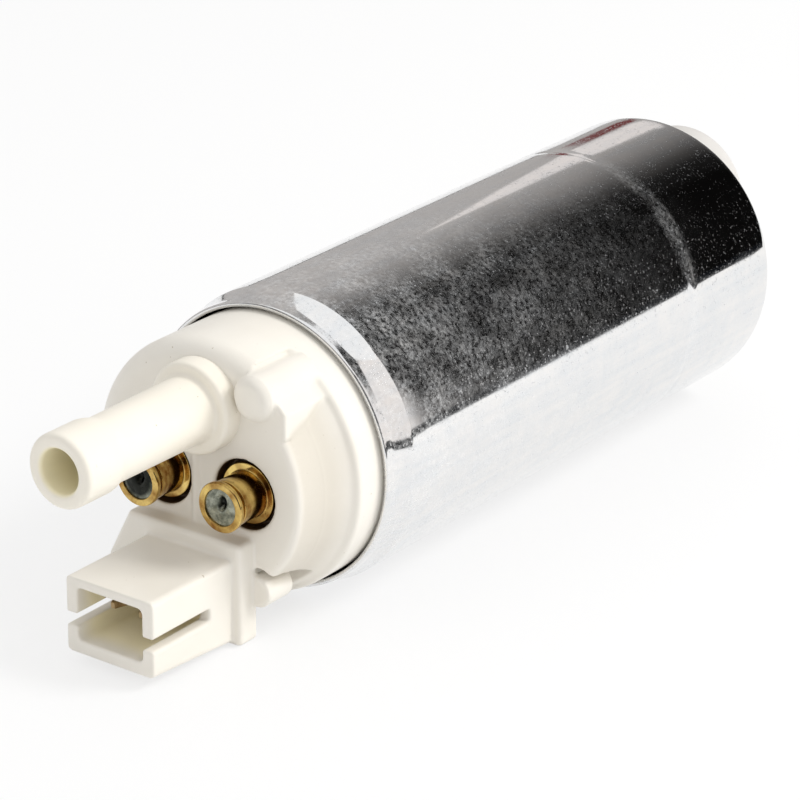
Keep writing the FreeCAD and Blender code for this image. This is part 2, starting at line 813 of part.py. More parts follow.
# Brass brush holder with a lip, a neck and a seating flange, the solder that closes its tip, the
# carbon brush, its spring and its lead.
def make_brushes():
    cup = turned("brush_cup", [
        ("cup_bore", "cup_tip_y"),
        ("cup_lip_r", "cup_tip_y"),
        ("cup_lip_r", "cup_tip_y + cup_lip"),
        ("cup_neck_r", "cup_tip_y + cup_lip"),
        ("cup_neck_r", "cup_tip_y + cup_lip + cup_neck"),
        ("cup_r", "cup_tip_y + cup_lip + cup_neck"),
        ("cup_r", "cup_flange_y - cup_flange"),
        ("cup_flange_r", "cup_flange_y - cup_flange"),
        ("cup_flange_r", "cup_flange_y"),
        ("cup_r", "cup_flange_y"),
        ("cup_r", "cup_end_y"),
        ("cup_bore", "cup_end_y"),
    ])
    solder = turned("solder", [
        ("0", "cup_tip_y + solder_pit"),
        ("solder_pit_r", "cup_tip_y + solder_pit"),
        ("solder_pit_r", "cup_tip_y + solder_dish"),
        ("cup_bore", "cup_tip_y + solder_dish / 4"),
        ("cup_bore", "cup_tip_y + solder_depth"),
        ("0", "cup_tip_y + solder_depth"),
    ])
    brush = turned("brush", [
        ("0", BRUSH_Y),
        ("brush_r - brush_bevel", BRUSH_Y),
        ("brush_r", BRUSH_Y + " + brush_bevel"),
        ("brush_r", "comm_y - run_gap * 2"),
        ("0", "comm_y - run_gap * 2"),
    ])
    spring_length = "comm_y - run_gap * 2 - brush_length - cup_tip_y - solder_depth"
    spring_y = "cup_tip_y + solder_depth"
    spring = ring("brush_spring", "brush_spring_r - spring_wall", "brush_spring_r", spring_y,
                  spring_length)
    lead = rod("brush_lead", "lead_r", "0", spring_length)
    hand_over_pair("brush_cup", place(cup, "brush_x", "brush_z"))
    hand_over_pair("solder", place(solder, "brush_x", "brush_z"))
    hand_over_pair("brush", place(brush, "brush_x", "brush_z"))
    hand_over_pair("brush_spring", place(spring, "brush_x", "brush_z"))
    hand_over_pair("brush_lead", place(lead, "brush_x", "brush_z", spring_y))


# Outlet tube with its beaded end, and the collar and spigot that seat it in the cap.
def make_outlet_fitting():
    groove_y = "face_y + small_cord"
    fitting = turned("outlet_fitting", [
        ("tube_bore", GUIDE_Y),
        ("tube_bore", "tube_tip_y + tip_round / 3"),
        ("tube_bore + tip_round / 3", "tube_tip_y", "tip_round / 3", "right"),
        ("bead_r - tip_round", "tube_tip_y"),
        ("bead_r", "tube_tip_y + tip_round", "tip_round", "left"),
        ("bead_r", "tube_tip_y + bead_length"),
        ("tube_r", "tube_tip_y + bead_length + bead_r - tube_r"),
        ("tube_r", "face_y - collar_height + collar_groove"),
        ("collar_r - collar_round", "face_y - collar_height"),
        ("collar_r", "face_y - collar_height + collar_round", "collar_round", "left"),
        ("collar_r", "face_y"),
        ("spigot_r", "face_y"),
        ("spigot_r", groove_y),
        ("spigot_r + fit_gap - small_cord * 2", groove_y),
        ("spigot_r + fit_gap - small_cord * 2", groove_y + " + small_cord * 2.4"),
        ("spigot_r", groove_y + " + small_cord * 2.4"),
        ("spigot_r", GUIDE_Y),
    ])
    hand_over("outlet_fitting", place(fitting, "0", "outlet_z"))
    make_seal("outlet_seal", "spigot_r + fit_gap - small_cord", "small_cord - fit_gap / 2",
              "face_y + small_cord * 2.2", "outlet_z")


# Check valve behind the outlet tube: poppet on the edge of the port, guide with windows, spring.
def make_check_valve():
    poppet = turned("check_valve", [
        ("0", "chamber_y - run_gap"),
        ("outlet_port_r + free_gap * 2", "chamber_y - run_gap"),
        ("valve_r", "chamber_y - valve_head / 2"),
        ("valve_r", "chamber_y - valve_head"),
        ("stem_r", "chamber_y - valve_head"),
        ("stem_r", "chamber_y - valve_head - stem_length"),
        ("0", "chamber_y - valve_head - stem_length"),
    ])
    hand_over("check_valve", place(poppet, "0", "outlet_z"))
    disc = ring("guide_disc", "stem_r + run_gap", "spigot_r", GUIDE_Y, "guide_thick")
    out = "tube_bore / 2 + stem_r / 2 + free_gap / 2"
    back = "0 - tube_bore / 2 - stem_r / 2 - free_gap / 2"
    windows = []
    for number, (across, up) in enumerate([(out, "0"), ("0", out), (back, "0"), ("0", back)]):
        windows.append(rod(f"guide_window_{number}", "tube_bore / 2 - stem_r / 2 - free_gap",
                           GUIDE_Y + " - 1", "guide_thick + 2", across, up))
    hand_over("valve_guide", place(cut("valve_guide", disc, windows), "0", "outlet_z"))
    spring = ring("check_spring", "valve_spring_r - spring_wall", "valve_spring_r",
                  GUIDE_Y + " + guide_thick",
                  "chamber_y - valve_head - face_y - spigot_length - guide_thick")
    hand_over("check_spring", place(spring, "0", "outlet_z"))


# Relief valve: brass seat, steel ball and spring. The seat's port is 0.6 of the ball's radius,
# so the ball's centre stands 0.8 of its radius in front of the seat.
def make_relief_valve():
    seat = ring("relief_seat", "relief_ball_r * 0.6", "relief_seat_r", "relief_seat_y",
                "cap_plate_y - relief_seat_y")
    hand_over("relief_seat", place(seat, "relief_x", "relief_z"))
    ball = doc.addObject("Part::Sphere", "relief_ball")
    bind(ball, "Radius", "relief_ball_r")
    hand_over("relief_ball", place(ball, "relief_x", "relief_z",
                                   "relief_seat_y - relief_ball_r * 0.8 - run_gap"))
    spring = ring("relief_spring", "relief_bore - free_gap * 2", "relief_bore - run_gap",
                  "relief_cavity_y",
                  "relief_seat_y - relief_ball_r * 1.8 - run_gap - relief_cavity_y")
    hand_over("relief_spring", place(spring, "relief_x", "relief_z"))


def make_terminals():
    hand_over_pair("terminal", place(terminal("terminal")))


# Shaft with the flat that drives the impeller. gap widens it, for the impeller's bore.
def drive_form(name, gap, start_y, length):
    form = rod(name + "_rod", f"shaft_r + {gap}", start_y, length)
    flat = block(
        name + "_flat",
        ("0 - shaft_r * 2", IMPELLER_ROOM_Y, f"shaft_r - flat_depth + {gap}"),
        ("shaft_r * 4", "impeller_thick * 2", "shaft_r"),
    )
    return cut(name, form, [flat])


def make_shaft():
    length = PLATE_Y + " + free_gap - shaft_front_y"
    hand_over("shaft", place(drive_form("shaft", "0", "shaft_front_y", length)))
    front = ring("front_bush", "shaft_r + run_gap", "bush_r", "bush_y", "hub_y - bush_y")
    hand_over("front_bush", place(front))
    rear = ring("rear_bush", "shaft_r + run_gap", "bush_r", "pump_y - pump_hub",
                "pump_hub + pump_bush_depth")
    hand_over("rear_bush", place(rear))
    washer = ring("front_washer", "shaft_r", "washer_r", HUB_WASHER_Y, "washer_thick")
    hand_over("front_washer", place(washer))
    washer = ring("rear_washer", "shaft_r", "washer_r", REAR_WASHER_Y, "washer_thick")
    hand_over("rear_washer", place(washer))


# Flat commutator: copper segments on a moulded base with a sleeve on the shaft.
def make_commutator():
    disc = ring("comm_disc", "comm_hole", "comm_r", "comm_y", "comm_thick")
    gaps = []
    for number in range(int(amount("slot_count")) // 2):
        bar = block(
            f"comm_gap_{number}",
            ("0 - comm_slot / 2", "comm_y - 1", "0 - comm_r - 1"),
            ("comm_slot", "comm_thick + 2", "comm_r * 2 + 2"),
        )
        gaps.append(spun(f"comm_bar_{number}", bar, f"360 / slot_count * {number + 0.5}"))
    hand_over("commutator", place(cut("commutator", disc, gaps)))
    front_y = HUB_WASHER_Y + " + washer_thick"
    base = turned("commutator_base", [
        ("shaft_r", front_y),
        ("sleeve_r", front_y),
        ("sleeve_r", "comm_y + comm_thick"),
        ("comm_base_r", "comm_y + comm_thick"),
        ("comm_base_r", "comm_y + comm_thick + comm_base"),
        ("shaft_r", "comm_y + comm_thick + comm_base"),
    ])
    hand_over("commutator_base", place(base))


# Outline of one winding slot, wide near the rim. gap draws it in from the slot's walls. mouth
# adds the narrow way out through the rim.
def slot_points(gap, mouth=()):
    inner_r = f"slot_inner_r + {gap}"
    shoulder_r = "slot_outer_r - slot_shoulder"
    return [
        (f"{gap} - slot_inner_width / 2", inner_r),
        (f"slot_inner_width / 2 - {gap}", inner_r),
        (f"slot_outer_width / 2 - {gap}", shoulder_r),
        ("slot_mouth / 2", "slot_outer_r"),
        *mouth,
        ("0 - slot_mouth / 2", "slot_outer_r"),
        (f"{gap} - slot_outer_width / 2", shoulder_r),
    ]


# The slots of the core and of its end insulators, from the body's own y = 0.
def cut_slots(body, length):
    mouth = [("slot_mouth / 2", "core_r + 1"), ("0 - slot_mouth / 2", "core_r + 1")]
    repeat_pocket(body, slot_points("0", mouth), length, "slot_count")


# Coils: a rounded ring in front of the core, one behind it and the wires in the slots.
def make_winding():
    front_y = "core_y - insulator_thick - winding_front"
    rear_y = CORE_END_Y + " + insulator_thick"
    rings = []
    ends = [("front", front_y, "winding_front"), ("rear", rear_y, "winding_rear")]
    for name, start, length in ends:
        end = f"{start} + {length}"
        rings.append(turned(f"winding_{name}", [
            ("winding_hole", start),
            ("winding_r - winding_round", start),
            ("winding_r", f"{start} + winding_round", "winding_round", "left"),
            ("winding_r", f"{end} - winding_round"),
            ("winding_r - winding_round", end, "winding_round", "left"),
            ("winding_hole", end),
        ]))
    bars = []
    for number in range(int(amount("slot_count"))):
        bar = padded(f"wires_{number}", slot_points("fit_gap"), rear_y,
                     "core_length + insulator_thick * 2")
        bars.append(spun(f"wires_in_slot_{number}", bar, f"360 / slot_count * {number}"))
    hand_over("winding", place(joined("winding", rings + bars)))


# Armature: slotted core, end insulators with sleeves that space it on the shaft, and coils.
def make_armature():
    core = turned("armature_core", [
        ("shaft_r", "0"),
        ("core_r", "0"),
        ("core_r", "core_length"),
        ("shaft_r", "core_length"),
    ])
    cut_slots(core, "core_length")
    hand_over("armature_core", place(core, along="core_y"))
    outer_r = "core_r - free_gap"
    front = turned("insulator_front", [
        ("shaft_r", "comm_y + comm_thick + comm_base + insulator_thick - core_y"),
        ("sleeve_r", "comm_y + comm_thick + comm_base + insulator_thick - core_y"),
        ("sleeve_r", "0"),
        (outer_r, "0"),
        (outer_r, "insulator_thick"),
        ("shaft_r", "insulator_thick"),
    ])
    cut_slots(front, "insulator_thick")
    hand_over("insulator_front", place(front, along="core_y - insulator_thick"))
    sleeve_end = "pump_y - pump_hub - run_gap * 2 - washer_thick - core_y - core_length"
    rear = turned("insulator_rear", [
        ("shaft_r", "0"),
        (outer_r, "0"),
        (outer_r, "insulator_thick"),
        ("sleeve_r", "insulator_thick"),
        ("sleeve_r", sleeve_end),
        ("shaft_r", sleeve_end),
    ])
    cut_slots(rear, "insulator_thick")
    hand_over("insulator_rear", place(rear, along=CORE_END_Y))


# Two arc magnets that line the shell, and the spring clips that hold them apart.
def make_magnets():
    inner_r = "core_r + air_gap"
    magnet = turned("magnet", [
        (inner_r, "magnet_y"),
        (PRESSED_R, "magnet_y"),
        (PRESSED_R, "magnet_y + magnet_length"),
        (inner_r, "magnet_y + magnet_length"),
    ], "magnet_angle", True)
    hand_over_pair("magnet", place(magnet))
    for name, turn in (("magnet_clip_upper", -90), ("magnet_clip_lower", 90)):
        clip = turned(name, [
            (PRESSED_R + " - clip_thick", "magnet_y"),
            (PRESSED_R, "magnet_y"),
            (PRESSED_R, "magnet_y + magnet_length"),
            (PRESSED_R + " - clip_thick", "magnet_y + magnet_length"),
        ], "clip_angle", True)
        clip.Placement.Rotation = FreeCAD.Rotation(FreeCAD.Vector(0, 1, 0), turn)
        hand_over(name, place(clip))


# Part-circular flow channel, centred on the plane at middle_y.
def channel(name, middle_y):
    piece = doc.addObject("Part::Torus", name)
    bind(piece, "Radius1", "channel_r")
    bind(piece, "Radius2", "channel_width")
    bind(piece, "Angle3", "channel_angle")
    piece.Placement.Rotation = FreeCAD.Rotation(FreeCAD.Vector(1, 0, 0), -90)
    return move(piece, "0", middle_y, "0")


# Pump body: carries the rear bush, the impeller's room, the channel and the outlet port.
def make_pump_body():
    relieved_r = PRESSED_R + " - groove_depth"
    body = turned("pump_body_form", [
        ("bush_r + fit_gap", "pump_y - pump_hub"),
        ("pump_hub_r", "pump_y - pump_hub"),
        ("pump_hub_r", "pump_y"),
        (PRESSED_R, "pump_y"),
        (PRESSED_R, "groove_y - wall"),
        (relieved_r, "groove_y - wall / 2"),
        (relieved_r, PLATE_Y),
        ("impeller_r + impeller_gap", PLATE_Y),
        ("impeller_r + impeller_gap", IMPELLER_ROOM_Y),
        ("shaft_r + free_gap", IMPELLER_ROOM_Y),
        ("shaft_r + free_gap", "pump_y + pump_bush_depth"),
        ("bush_r + fit_gap", "pump_y + pump_bush_depth"),
    ])
    port = rod("outlet_way", "port_r", "pump_y - 1", "pump_body_thick", "channel_r")
    port = spun("outlet_way_spun", port, "channel_angle")
    body = cut("pump_body", body, [channel("body_channel", IMPELLER_ROOM_Y), port])
    hand_over("pump_body", place(body))


# Impeller with vanes cut into its rim.
def make_impeller():
    disc = turned("impeller_disc", [
        ("0", "0"),
        ("impeller_r", "0"),
        ("impeller_r", "impeller_thick"),
        ("0", "impeller_thick"),
    ])
    repeat_pocket(disc, [
        ("0 - vane_gap / 2", "impeller_r - vane_depth + vane_gap / 2"),
        ("vane_gap / 2", "impeller_r - vane_depth + vane_gap / 2", "vane_gap * 0.55", "left"),
        ("vane_gap / 2", "impeller_r + 1"),
        ("0 - vane_gap / 2", "impeller_r + 1"),
    ], "impeller_thick", "vane_count")
    move(disc, "0", IMPELLER_ROOM_Y + " + impeller_gap", "0")
    bore = drive_form("impeller_bore", "run_gap", "pump_y", "pump_body_thick * 2")
    hand_over("impeller", place(cut("impeller", disc, [bore])))


# Inlet plate: closes the impeller's room and holds the thrust button at the shaft's end.
def make_inlet_plate():
    relieved_r = PRESSED_R + " - groove_depth"
    seat_y = PLATE_Y + " + free_gap + run_gap * 2 + button_thick"
    plate = turned("inlet_plate_form", [
        ("0", seat_y),
        ("button_r + fit_gap", seat_y),
        ("button_r + fit_gap", PLATE_Y),
        (relieved_r, PLATE_Y),
        (relieved_r, "groove_y + groove_length + wall / 2"),
        (PRESSED_R, "groove_y + groove_length + wall"),
        (PRESSED_R, COVER_Y),
        ("0", COVER_Y),
    ])
    port = rod("inlet_way", "port_r", PLATE_Y, "inlet_plate_thick + 1", "channel_r")
    plate = cut("inlet_plate", plate, [channel("plate_channel", PLATE_Y), port])
    hand_over("inlet_plate", place(plate))
    button = rod("thrust_button", "button_r", "0", "button_thick")
    hand_over("thrust_button", place(button, along=PLATE_Y + " + free_gap + run_gap * 2"))


# Inlet cover: fills the rolled end of the shell and carries the boss with the inlet socket.
def make_inlet_cover():
    neck_r = "rear_roll - fit_gap * 2"
    inside_y = "barrel_length - wall - fit_gap"
    outside_y = "barrel_length + cover_face"
    cover = turned("cover_form", [
        ("0", COVER_Y + " + cover_recess"),
        (PRESSED_R + " - cover_wall", COVER_Y + " + cover_recess"),
        (PRESSED_R + " - cover_wall", COVER_Y),
        (PRESSED_R, COVER_Y),
        *seal_groove("cover_seal_y"),
        (PRESSED_R, "barrel_length - rear_round"),
        ("barrel_r - rear_round", inside_y, "rear_round - wall - fit_gap", "left"),
        (neck_r, inside_y),
        (neck_r, outside_y),
        ("0", outside_y),
    ])
    boss = turned("inlet_boss", [
        ("0", "barrel_length + cover_face / 2"),
        ("boss_r", "barrel_length + cover_face / 2"),
        ("boss_r", "boss_y - boss_round"),
        ("boss_r - boss_round", "boss_y", "boss_round", "left"),
        ("0", "boss_y"),
    ])
    move(boss, "0", "0", "boss_z")
    socket = rod("inlet_socket", "boss_r - boss_wall", "boss_y - socket_depth", "socket_depth + 1",
                 "0", "boss_z")
    inlet = rod("inlet_bore", "inlet_r", COVER_Y, "boss_y - pump_y", "0", "boss_z")
    solid = joined("cover_solid", [cover, boss])
    hand_over("inlet_cover", place(cut("inlet_cover", solid, [socket, inlet])))
    make_seal("cover_seal", BORE_R + " - seal_cord", "seal_cord - fit_gap / 2", "cover_seal_y")


make_shell()
make_cap()
make_outlet_fitting()
make_check_valve()
make_relief_valve()
make_terminals()
make_brushes()
make_shaft()
make_commutator()
make_armature()
make_winding()
make_magnets()
make_pump_body()
make_impeller()
make_inlet_plate()
make_inlet_cover()
doc.recompute()

# Every object must have been built, and every piece must be a valid solid.
for item in doc.Objects:
    if "Invalid" in item.State or "Error" in item.State:
        raise RuntimeError(f"{item.Name}: {item.State}")
for name, piece in nodes.items():
    shape = piece.Shape
    if shape.isNull() or not shape.isValid() or not shape.Solids:
        raise RuntimeError(f"{name}: not a valid solid")

os.makedirs("parts", exist_ok=True)
for name, piece in nodes.items():
    piece.Shape.exportStep(os.path.join("parts", name + ".step"))
    box = piece.Shape.BoundBox
    print(f"{name}: {len(piece.Shape.Solids)} solid, y {box.YMin:.2f} to {box.YMax:.2f}")
print(len(nodes), "pieces")
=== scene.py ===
import json
import math

import bmesh
import bpy
import numpy as np
from mathutils import Matrix, Vector


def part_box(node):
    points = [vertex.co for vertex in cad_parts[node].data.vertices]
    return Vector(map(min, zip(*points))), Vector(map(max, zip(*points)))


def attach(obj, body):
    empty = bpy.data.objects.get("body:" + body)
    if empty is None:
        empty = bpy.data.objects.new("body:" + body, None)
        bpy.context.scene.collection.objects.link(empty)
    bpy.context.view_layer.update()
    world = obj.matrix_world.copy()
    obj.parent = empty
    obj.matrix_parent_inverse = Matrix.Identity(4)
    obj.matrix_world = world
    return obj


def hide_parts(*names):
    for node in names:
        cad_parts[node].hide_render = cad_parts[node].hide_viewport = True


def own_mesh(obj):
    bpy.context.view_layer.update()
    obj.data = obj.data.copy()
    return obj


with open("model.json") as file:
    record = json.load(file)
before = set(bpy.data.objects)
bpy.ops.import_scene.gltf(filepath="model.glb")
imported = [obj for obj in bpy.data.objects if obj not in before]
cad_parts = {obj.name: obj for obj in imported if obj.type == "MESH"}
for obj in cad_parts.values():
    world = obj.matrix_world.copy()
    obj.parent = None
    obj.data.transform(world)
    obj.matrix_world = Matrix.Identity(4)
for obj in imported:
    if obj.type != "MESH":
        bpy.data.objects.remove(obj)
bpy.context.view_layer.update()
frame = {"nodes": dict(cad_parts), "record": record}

print("stage: frame loaded")

mm = 0.001
halfLength = 49.0  # the pump's pieces are worked out from the shell's front lip, in millimetres


def inFrame(x, y, z):
    return Vector((x * mm, (y - halfLength) * mm, z * mm))


cameraValues = {
    "place": (279.32, -352.08, 196.16),
    "right": (0.80559, 0.59241, 0.00901),
    "up": (-0.23662, 0.30775, 0.92157),
    "lens": 161.07, "sensor": 36.0,   # millimetres
    "near": 0.01, "far": 20.0,        # metres
}


def makeCamera(values):
    data = bpy.data.cameras.new("camera")
    data.lens = values["lens"]
    data.sensor_width = values["sensor"]
    data.clip_start = values["near"]
    data.clip_end = values["far"]
    camera = bpy.data.objects.new("camera", data)
    right = Vector(values["right"]).normalized()
    back = right.cross(Vector(values["up"])).normalized()
    up = back.cross(right)
    turn = Matrix((right, up, back)).transposed().to_4x4()
    camera.matrix_world = Matrix.Translation(inFrame(*values["place"])) @ turn
    bpy.context.scene.collection.objects.link(camera)
    bpy.context.scene.camera = camera


stageValues = {
    "floorReach": 3.0,   # metres each way
    "floorZ": -21.5,
    "floorColour": (0.90, 0.90, 0.90), "floorRough": 0.6, "floorGloss": 0.2,
    "floorLift": 0.70,   # share of plain white that camera and mirror rays see in the floor
    "worldFill": 0.78,   # light from all round, where camera and mirror rays see white
}


def plainMaterial(name):
    material = bpy.data.materials.new(name)
    material.use_nodes = True
    tree = material.node_tree
    return material, tree, tree.nodes["Principled BSDF"]


# 1 for a camera, mirror or glass ray, and 0 for the rays that carry light.
def seenDirectly(tree):
    path = tree.nodes.new("ShaderNodeLightPath")
    first = tree.nodes.new("ShaderNodeMath")
    first.operation = "MAXIMUM"
    second = tree.nodes.new("ShaderNodeMath")
    second.operation = "MAXIMUM"
    tree.links.new(path.outputs["Is Camera Ray"], first.inputs[0])
    tree.links.new(path.outputs["Is Glossy Ray"], first.inputs[1])
    tree.links.new(first.outputs[0], second.inputs[0])
    tree.links.new(path.outputs["Is Transmission Ray"], second.inputs[1])
    return second.outputs[0]


def makeFloor(values):
    reach = values["floorReach"]
    corners = np.array([[-1, -1, 0], [1, -1, 0], [1, 1, 0], [-1, 1, 0]], float) * reach
    corners[:, 2] = values["floorZ"] * mm
    mesh = bpy.data.meshes.new("floor")
    mesh.from_pydata(corners.tolist(), [], [(0, 1, 2, 3)])
    floor = bpy.data.objects.new("floor", mesh)
    bpy.context.scene.collection.objects.link(floor)
    material, tree, shader = plainMaterial("floorWhite")
    shader.inputs["Base Color"].default_value = (*values["floorColour"], 1)
    shader.inputs["Roughness"].default_value = values["floorRough"]
    shader.inputs["Specular IOR Level"].default_value = values["floorGloss"]
    light = tree.nodes.new("ShaderNodeEmission")
    light.inputs["Strength"].default_value = 1.0
    share = tree.nodes.new("ShaderNodeMath")
    share.operation = "MULTIPLY"
    share.inputs[1].default_value = values["floorLift"]
    tree.links.new(seenDirectly(tree), share.inputs[0])
    mix = tree.nodes.new("ShaderNodeMixShader")
    tree.links.new(share.outputs[0], mix.inputs[0])
    tree.links.new(shader.outputs[0], mix.inputs[1])
    tree.links.new(light.outputs[0], mix.inputs[2])
    tree.links.new(mix.outputs[0], tree.nodes["Material Output"].inputs["Surface"])
    mesh.materials.append(material)


def makeWorld(values):
    world = bpy.data.worlds.new("studio")
    bpy.context.scene.world = world
    world.use_nodes = True
    tree = world.node_tree
    background = tree.nodes["Background"]
    background.inputs["Color"].default_value = (1, 1, 1, 1)
    strength = tree.nodes.new("ShaderNodeMapRange")
    strength.inputs["To Min"].default_value = values["worldFill"]
    strength.inputs["To Max"].default_value = 1.0
    tree.links.new(seenDirectly(tree), strength.inputs["Value"])
    tree.links.new(strength.outputs["Result"], background.inputs["Strength"])


lampValues = {
    "key": {"place": (430, 290, 470), "size": 0.26, "watts": 2.6, "colour": (1.0, 0.99, 0.97)},
    "side": {"place": (450, 350, 60), "size": 0.30, "watts": 0.5, "colour": (1.0, 0.99, 0.975)},
}


def makeLamp(name, values):
    data = bpy.data.lights.new(name, "AREA")
    data.shape = "SQUARE"
    data.size = values["size"]
    data.energy = values["watts"]
    data.color = values["colour"]
    lamp = bpy.data.objects.new(name, data)
    lamp.location = inFrame(*values["place"])
    lamp.rotation_mode = "QUATERNION"
    aim = Vector((0, 0, 0)) - lamp.location
    lamp.rotation_quaternion = aim.to_track_quat("-Z", "Y")
    lamp.visible_glossy = False  # the steel mirrors the room below instead
    bpy.context.scene.collection.objects.link(lamp)


# The room that the steel mirrors: a wall all round whose shade follows the turn from +Y towards
# +X, the dark floor beyond a white table, and a window pane. Only mirror rays see them.
roomValues = {
    "radius": 1.0, "foot": -4.0, "top": 50.0, "columns": 145, "rows": 9,
    "turns": (-180, -150, -110, -60, -42, -36, -26, -13, -5, 3, 15, 44, 48, 82, 90, 150, 180),
    "shades": (0.50, 0.08, 0.60, 0.50, 0.45, 0.45, 0.32, 0.15, 0.06, 0.012, 0.003, 0.003, 0.90,
               0.90, 0.05, 0.05, 0.50),
    "tint": (1.0, 0.955, 0.93),
    "table": (-480, 200, -700, 700),   # low x, high x, low y, high y
    "groundReach": 1300.0, "groundLift": 0.2, "groundShade": (0.006, 0.007, 0.009),
    "paneShare": 0.97,                 # of the wall's radius
    "panes": [                         # turn and height of each corner, then the shade
        ([(-33.4, 26.2), (-28.5, 24.1), (-24.5, 24.2), (-31.8, 12.8), (-35.4, 12.8),
          (-35.2, 18.5)], (0.80, 0.755, 0.735)),
        ([(-35.2, 11.5), (-33.0, 11.2), (-33.8, 5.0), (-37.0, 4.5)], (0.16, 0.035, 0.035)),
    ],
}


# Points of a sphere round the origin: (sin turn cos height, cos turn cos height, sin height)
# times the radius, in degrees and metres.
def onDome(turn, height, radius):
    turn, height = np.radians(turn), np.radians(height)
    return np.stack([np.sin(turn) * np.cos(height), np.cos(turn) * np.cos(height),
                     np.sin(height)], -1) * radius


# A sheet that only mirror rays see. shades is one colour for it, or one for each point.
def addCard(name, points, faces, shades):
    mesh = bpy.data.meshes.new(name)
    mesh.from_pydata(points.tolist(), [], faces.tolist())
    colours = np.ones((len(points), 4))
    colours[:, :3] = shades
    mesh.attributes.new("shade", "FLOAT_COLOR", "POINT").data.foreach_set("color", colours.ravel())
    card = bpy.data.objects.new(name, mesh)
    bpy.context.scene.collection.objects.link(card)
    for ray in ("camera", "diffuse", "transmission", "shadow", "volume_scatter"):
        setattr(card, "visible_" + ray, False)
    material, tree, _ = plainMaterial(name)
    shade = tree.nodes.new("ShaderNodeAttribute")
    shade.attribute_name = "shade"
    light = tree.nodes.new("ShaderNodeEmission")
    tree.links.new(shade.outputs["Color"], light.inputs["Color"])
    tree.links.new(light.outputs[0], tree.nodes["Material Output"].inputs["Surface"])
    mesh.materials.append(material)


# Faces of a grid of points, stored row after row. A closed direction joins its last to its first.
def gridFaces(rows, columns, rowsClosed=False, columnsClosed=False):
    i, j = np.meshgrid(np.arange(rows if rowsClosed else rows - 1),
                       np.arange(columns if columnsClosed else columns - 1), indexing="ij")
    nextI, nextJ = (i + 1) % rows, (j + 1) % columns
    return np.stack([i * columns + j, i * columns + nextJ, nextI * columns + nextJ,
                     nextI * columns + j], -1).reshape(-1, 4)


def makeRoom(v):
    turn, height = np.meshgrid(np.linspace(-180, 180, v["columns"]),
                               np.linspace(v["foot"], v["top"], v["rows"]), indexing="ij")
    shade = np.interp(turn, v["turns"], v["shades"]).reshape(-1, 1) * np.array(v["tint"])
    addCard("roomWall", onDome(turn, height, v["radius"]).reshape(-1, 3),
            gridFaces(v["columns"], v["rows"]), shade)
    # the ground is three by three faces, and the middle one is left out for the table
    lowX, highX, lowY, highY = v["table"]
    far = v["groundReach"]
    x, y = np.meshgrid([-far, lowX, highX, far], [-far, lowY, highY, far], indexing="ij")
    z = np.full_like(x, stageValues["floorZ"] + v["groundLift"])
    ground = np.stack([x, y, z], -1).reshape(-1, 3) * mm
    addCard("roomFloor", ground, np.delete(gridFaces(4, 4), 4, 0), v["groundShade"])
    for number, (corners, shade) in enumerate(v["panes"]):
        corners = np.array(corners)
        points = onDome(corners[:, 0], corners[:, 1], v["radius"] * v["paneShare"])
        addCard(f"windowPane{number}", points, np.arange(len(corners))[None], shade)


bpy.context.scene.view_settings.view_transform = "Standard"
makeCamera(cameraValues)
makeFloor(stageValues)
makeWorld(stageValues)
for lampName, lampSet in lampValues.items():
    makeLamp(lampName, lampSet)
makeRoom(roomValues)
print("stage: camera, floor and light")


# A shader node group. inputs and outputs are (socket name, kind, default).
def newGroup(name, inputs, outputs):
    group = bpy.data.node_groups.new(name, "ShaderNodeTree")
    for socketName, kind, default in inputs:
        socket = group.interface.new_socket(socketName, in_out="INPUT", socket_type=kind)
        socket.default_value = default
    for socketName, kind in outputs:
        group.interface.new_socket(socketName, in_out="OUTPUT", socket_type=kind)
    start = group.nodes.new("NodeGroupInput")
    end = group.nodes.new("NodeGroupOutput")
    return group, start, end


# values go to the node's sockets, and settings to the node itself.
def addNode(tree, kind, values=None, **settings):
    node = tree.nodes.new(kind)
    for name, value in settings.items():
        setattr(node, name, value)
    for socket, value in (values or {}).items():
        node.inputs[socket].default_value = value
    return node


def noise(tree, vector, scale, detail, rough):
    node = addNode(tree, "ShaderNodeTexNoise", {"Detail": detail, "Roughness": rough})
    tree.links.new(vector, node.inputs["Vector"])
    if isinstance(scale, float):
        node.inputs["Scale"].default_value = scale
    else:
        tree.links.new(scale, node.inputs["Scale"])
    return node.outputs["Fac"]


def remap(tree, value, low, high, toLow=0.0, toHigh=1.0):
    node = addNode(tree, "ShaderNodeMapRange", {
        "From Min": low, "From Max": high, "To Min": toLow, "To Max": toHigh})
    tree.links.new(value, node.inputs["Value"])
    return node.outputs["Result"]


# A noise of which a band, from low to high, is spread over the values toLow to toHigh.
def pattern(tree, vector, scale, detail, rough, low, high, toLow=0.0, toHigh=1.0):
    return remap(tree, noise(tree, vector, scale, detail, rough), low, high, toLow, toHigh)


def mixColour(tree, factor, first, second):
    node = addNode(tree, "ShaderNodeMix", data_type="RGBA")
    for socket, value in ((0, factor), (6, first), (7, second)):
        if isinstance(value, (tuple, float)):
            node.inputs[socket].default_value = value
        else:
            tree.links.new(value, node.inputs[socket])
    return node.outputs[2]


# Each pattern: scale per metre, detail, roughness of the noise, its band, and what the band's ends
# stand for where that isn't 0 and 1.
mouldingValues = {
    "drift": (90.0, 2.0, 0.5, 0.35, 0.70), "specks": (1500.0, 1.0, 0.5, 0.79, 0.82),
    "sheen": (260.0, 3.0, 0.5, 0.3, 0.7, -0.05, 0.07),
    "skin": (700.0, 3.0, 0.6), "skinDepth": 0.00005, "ior": 1.48,
}


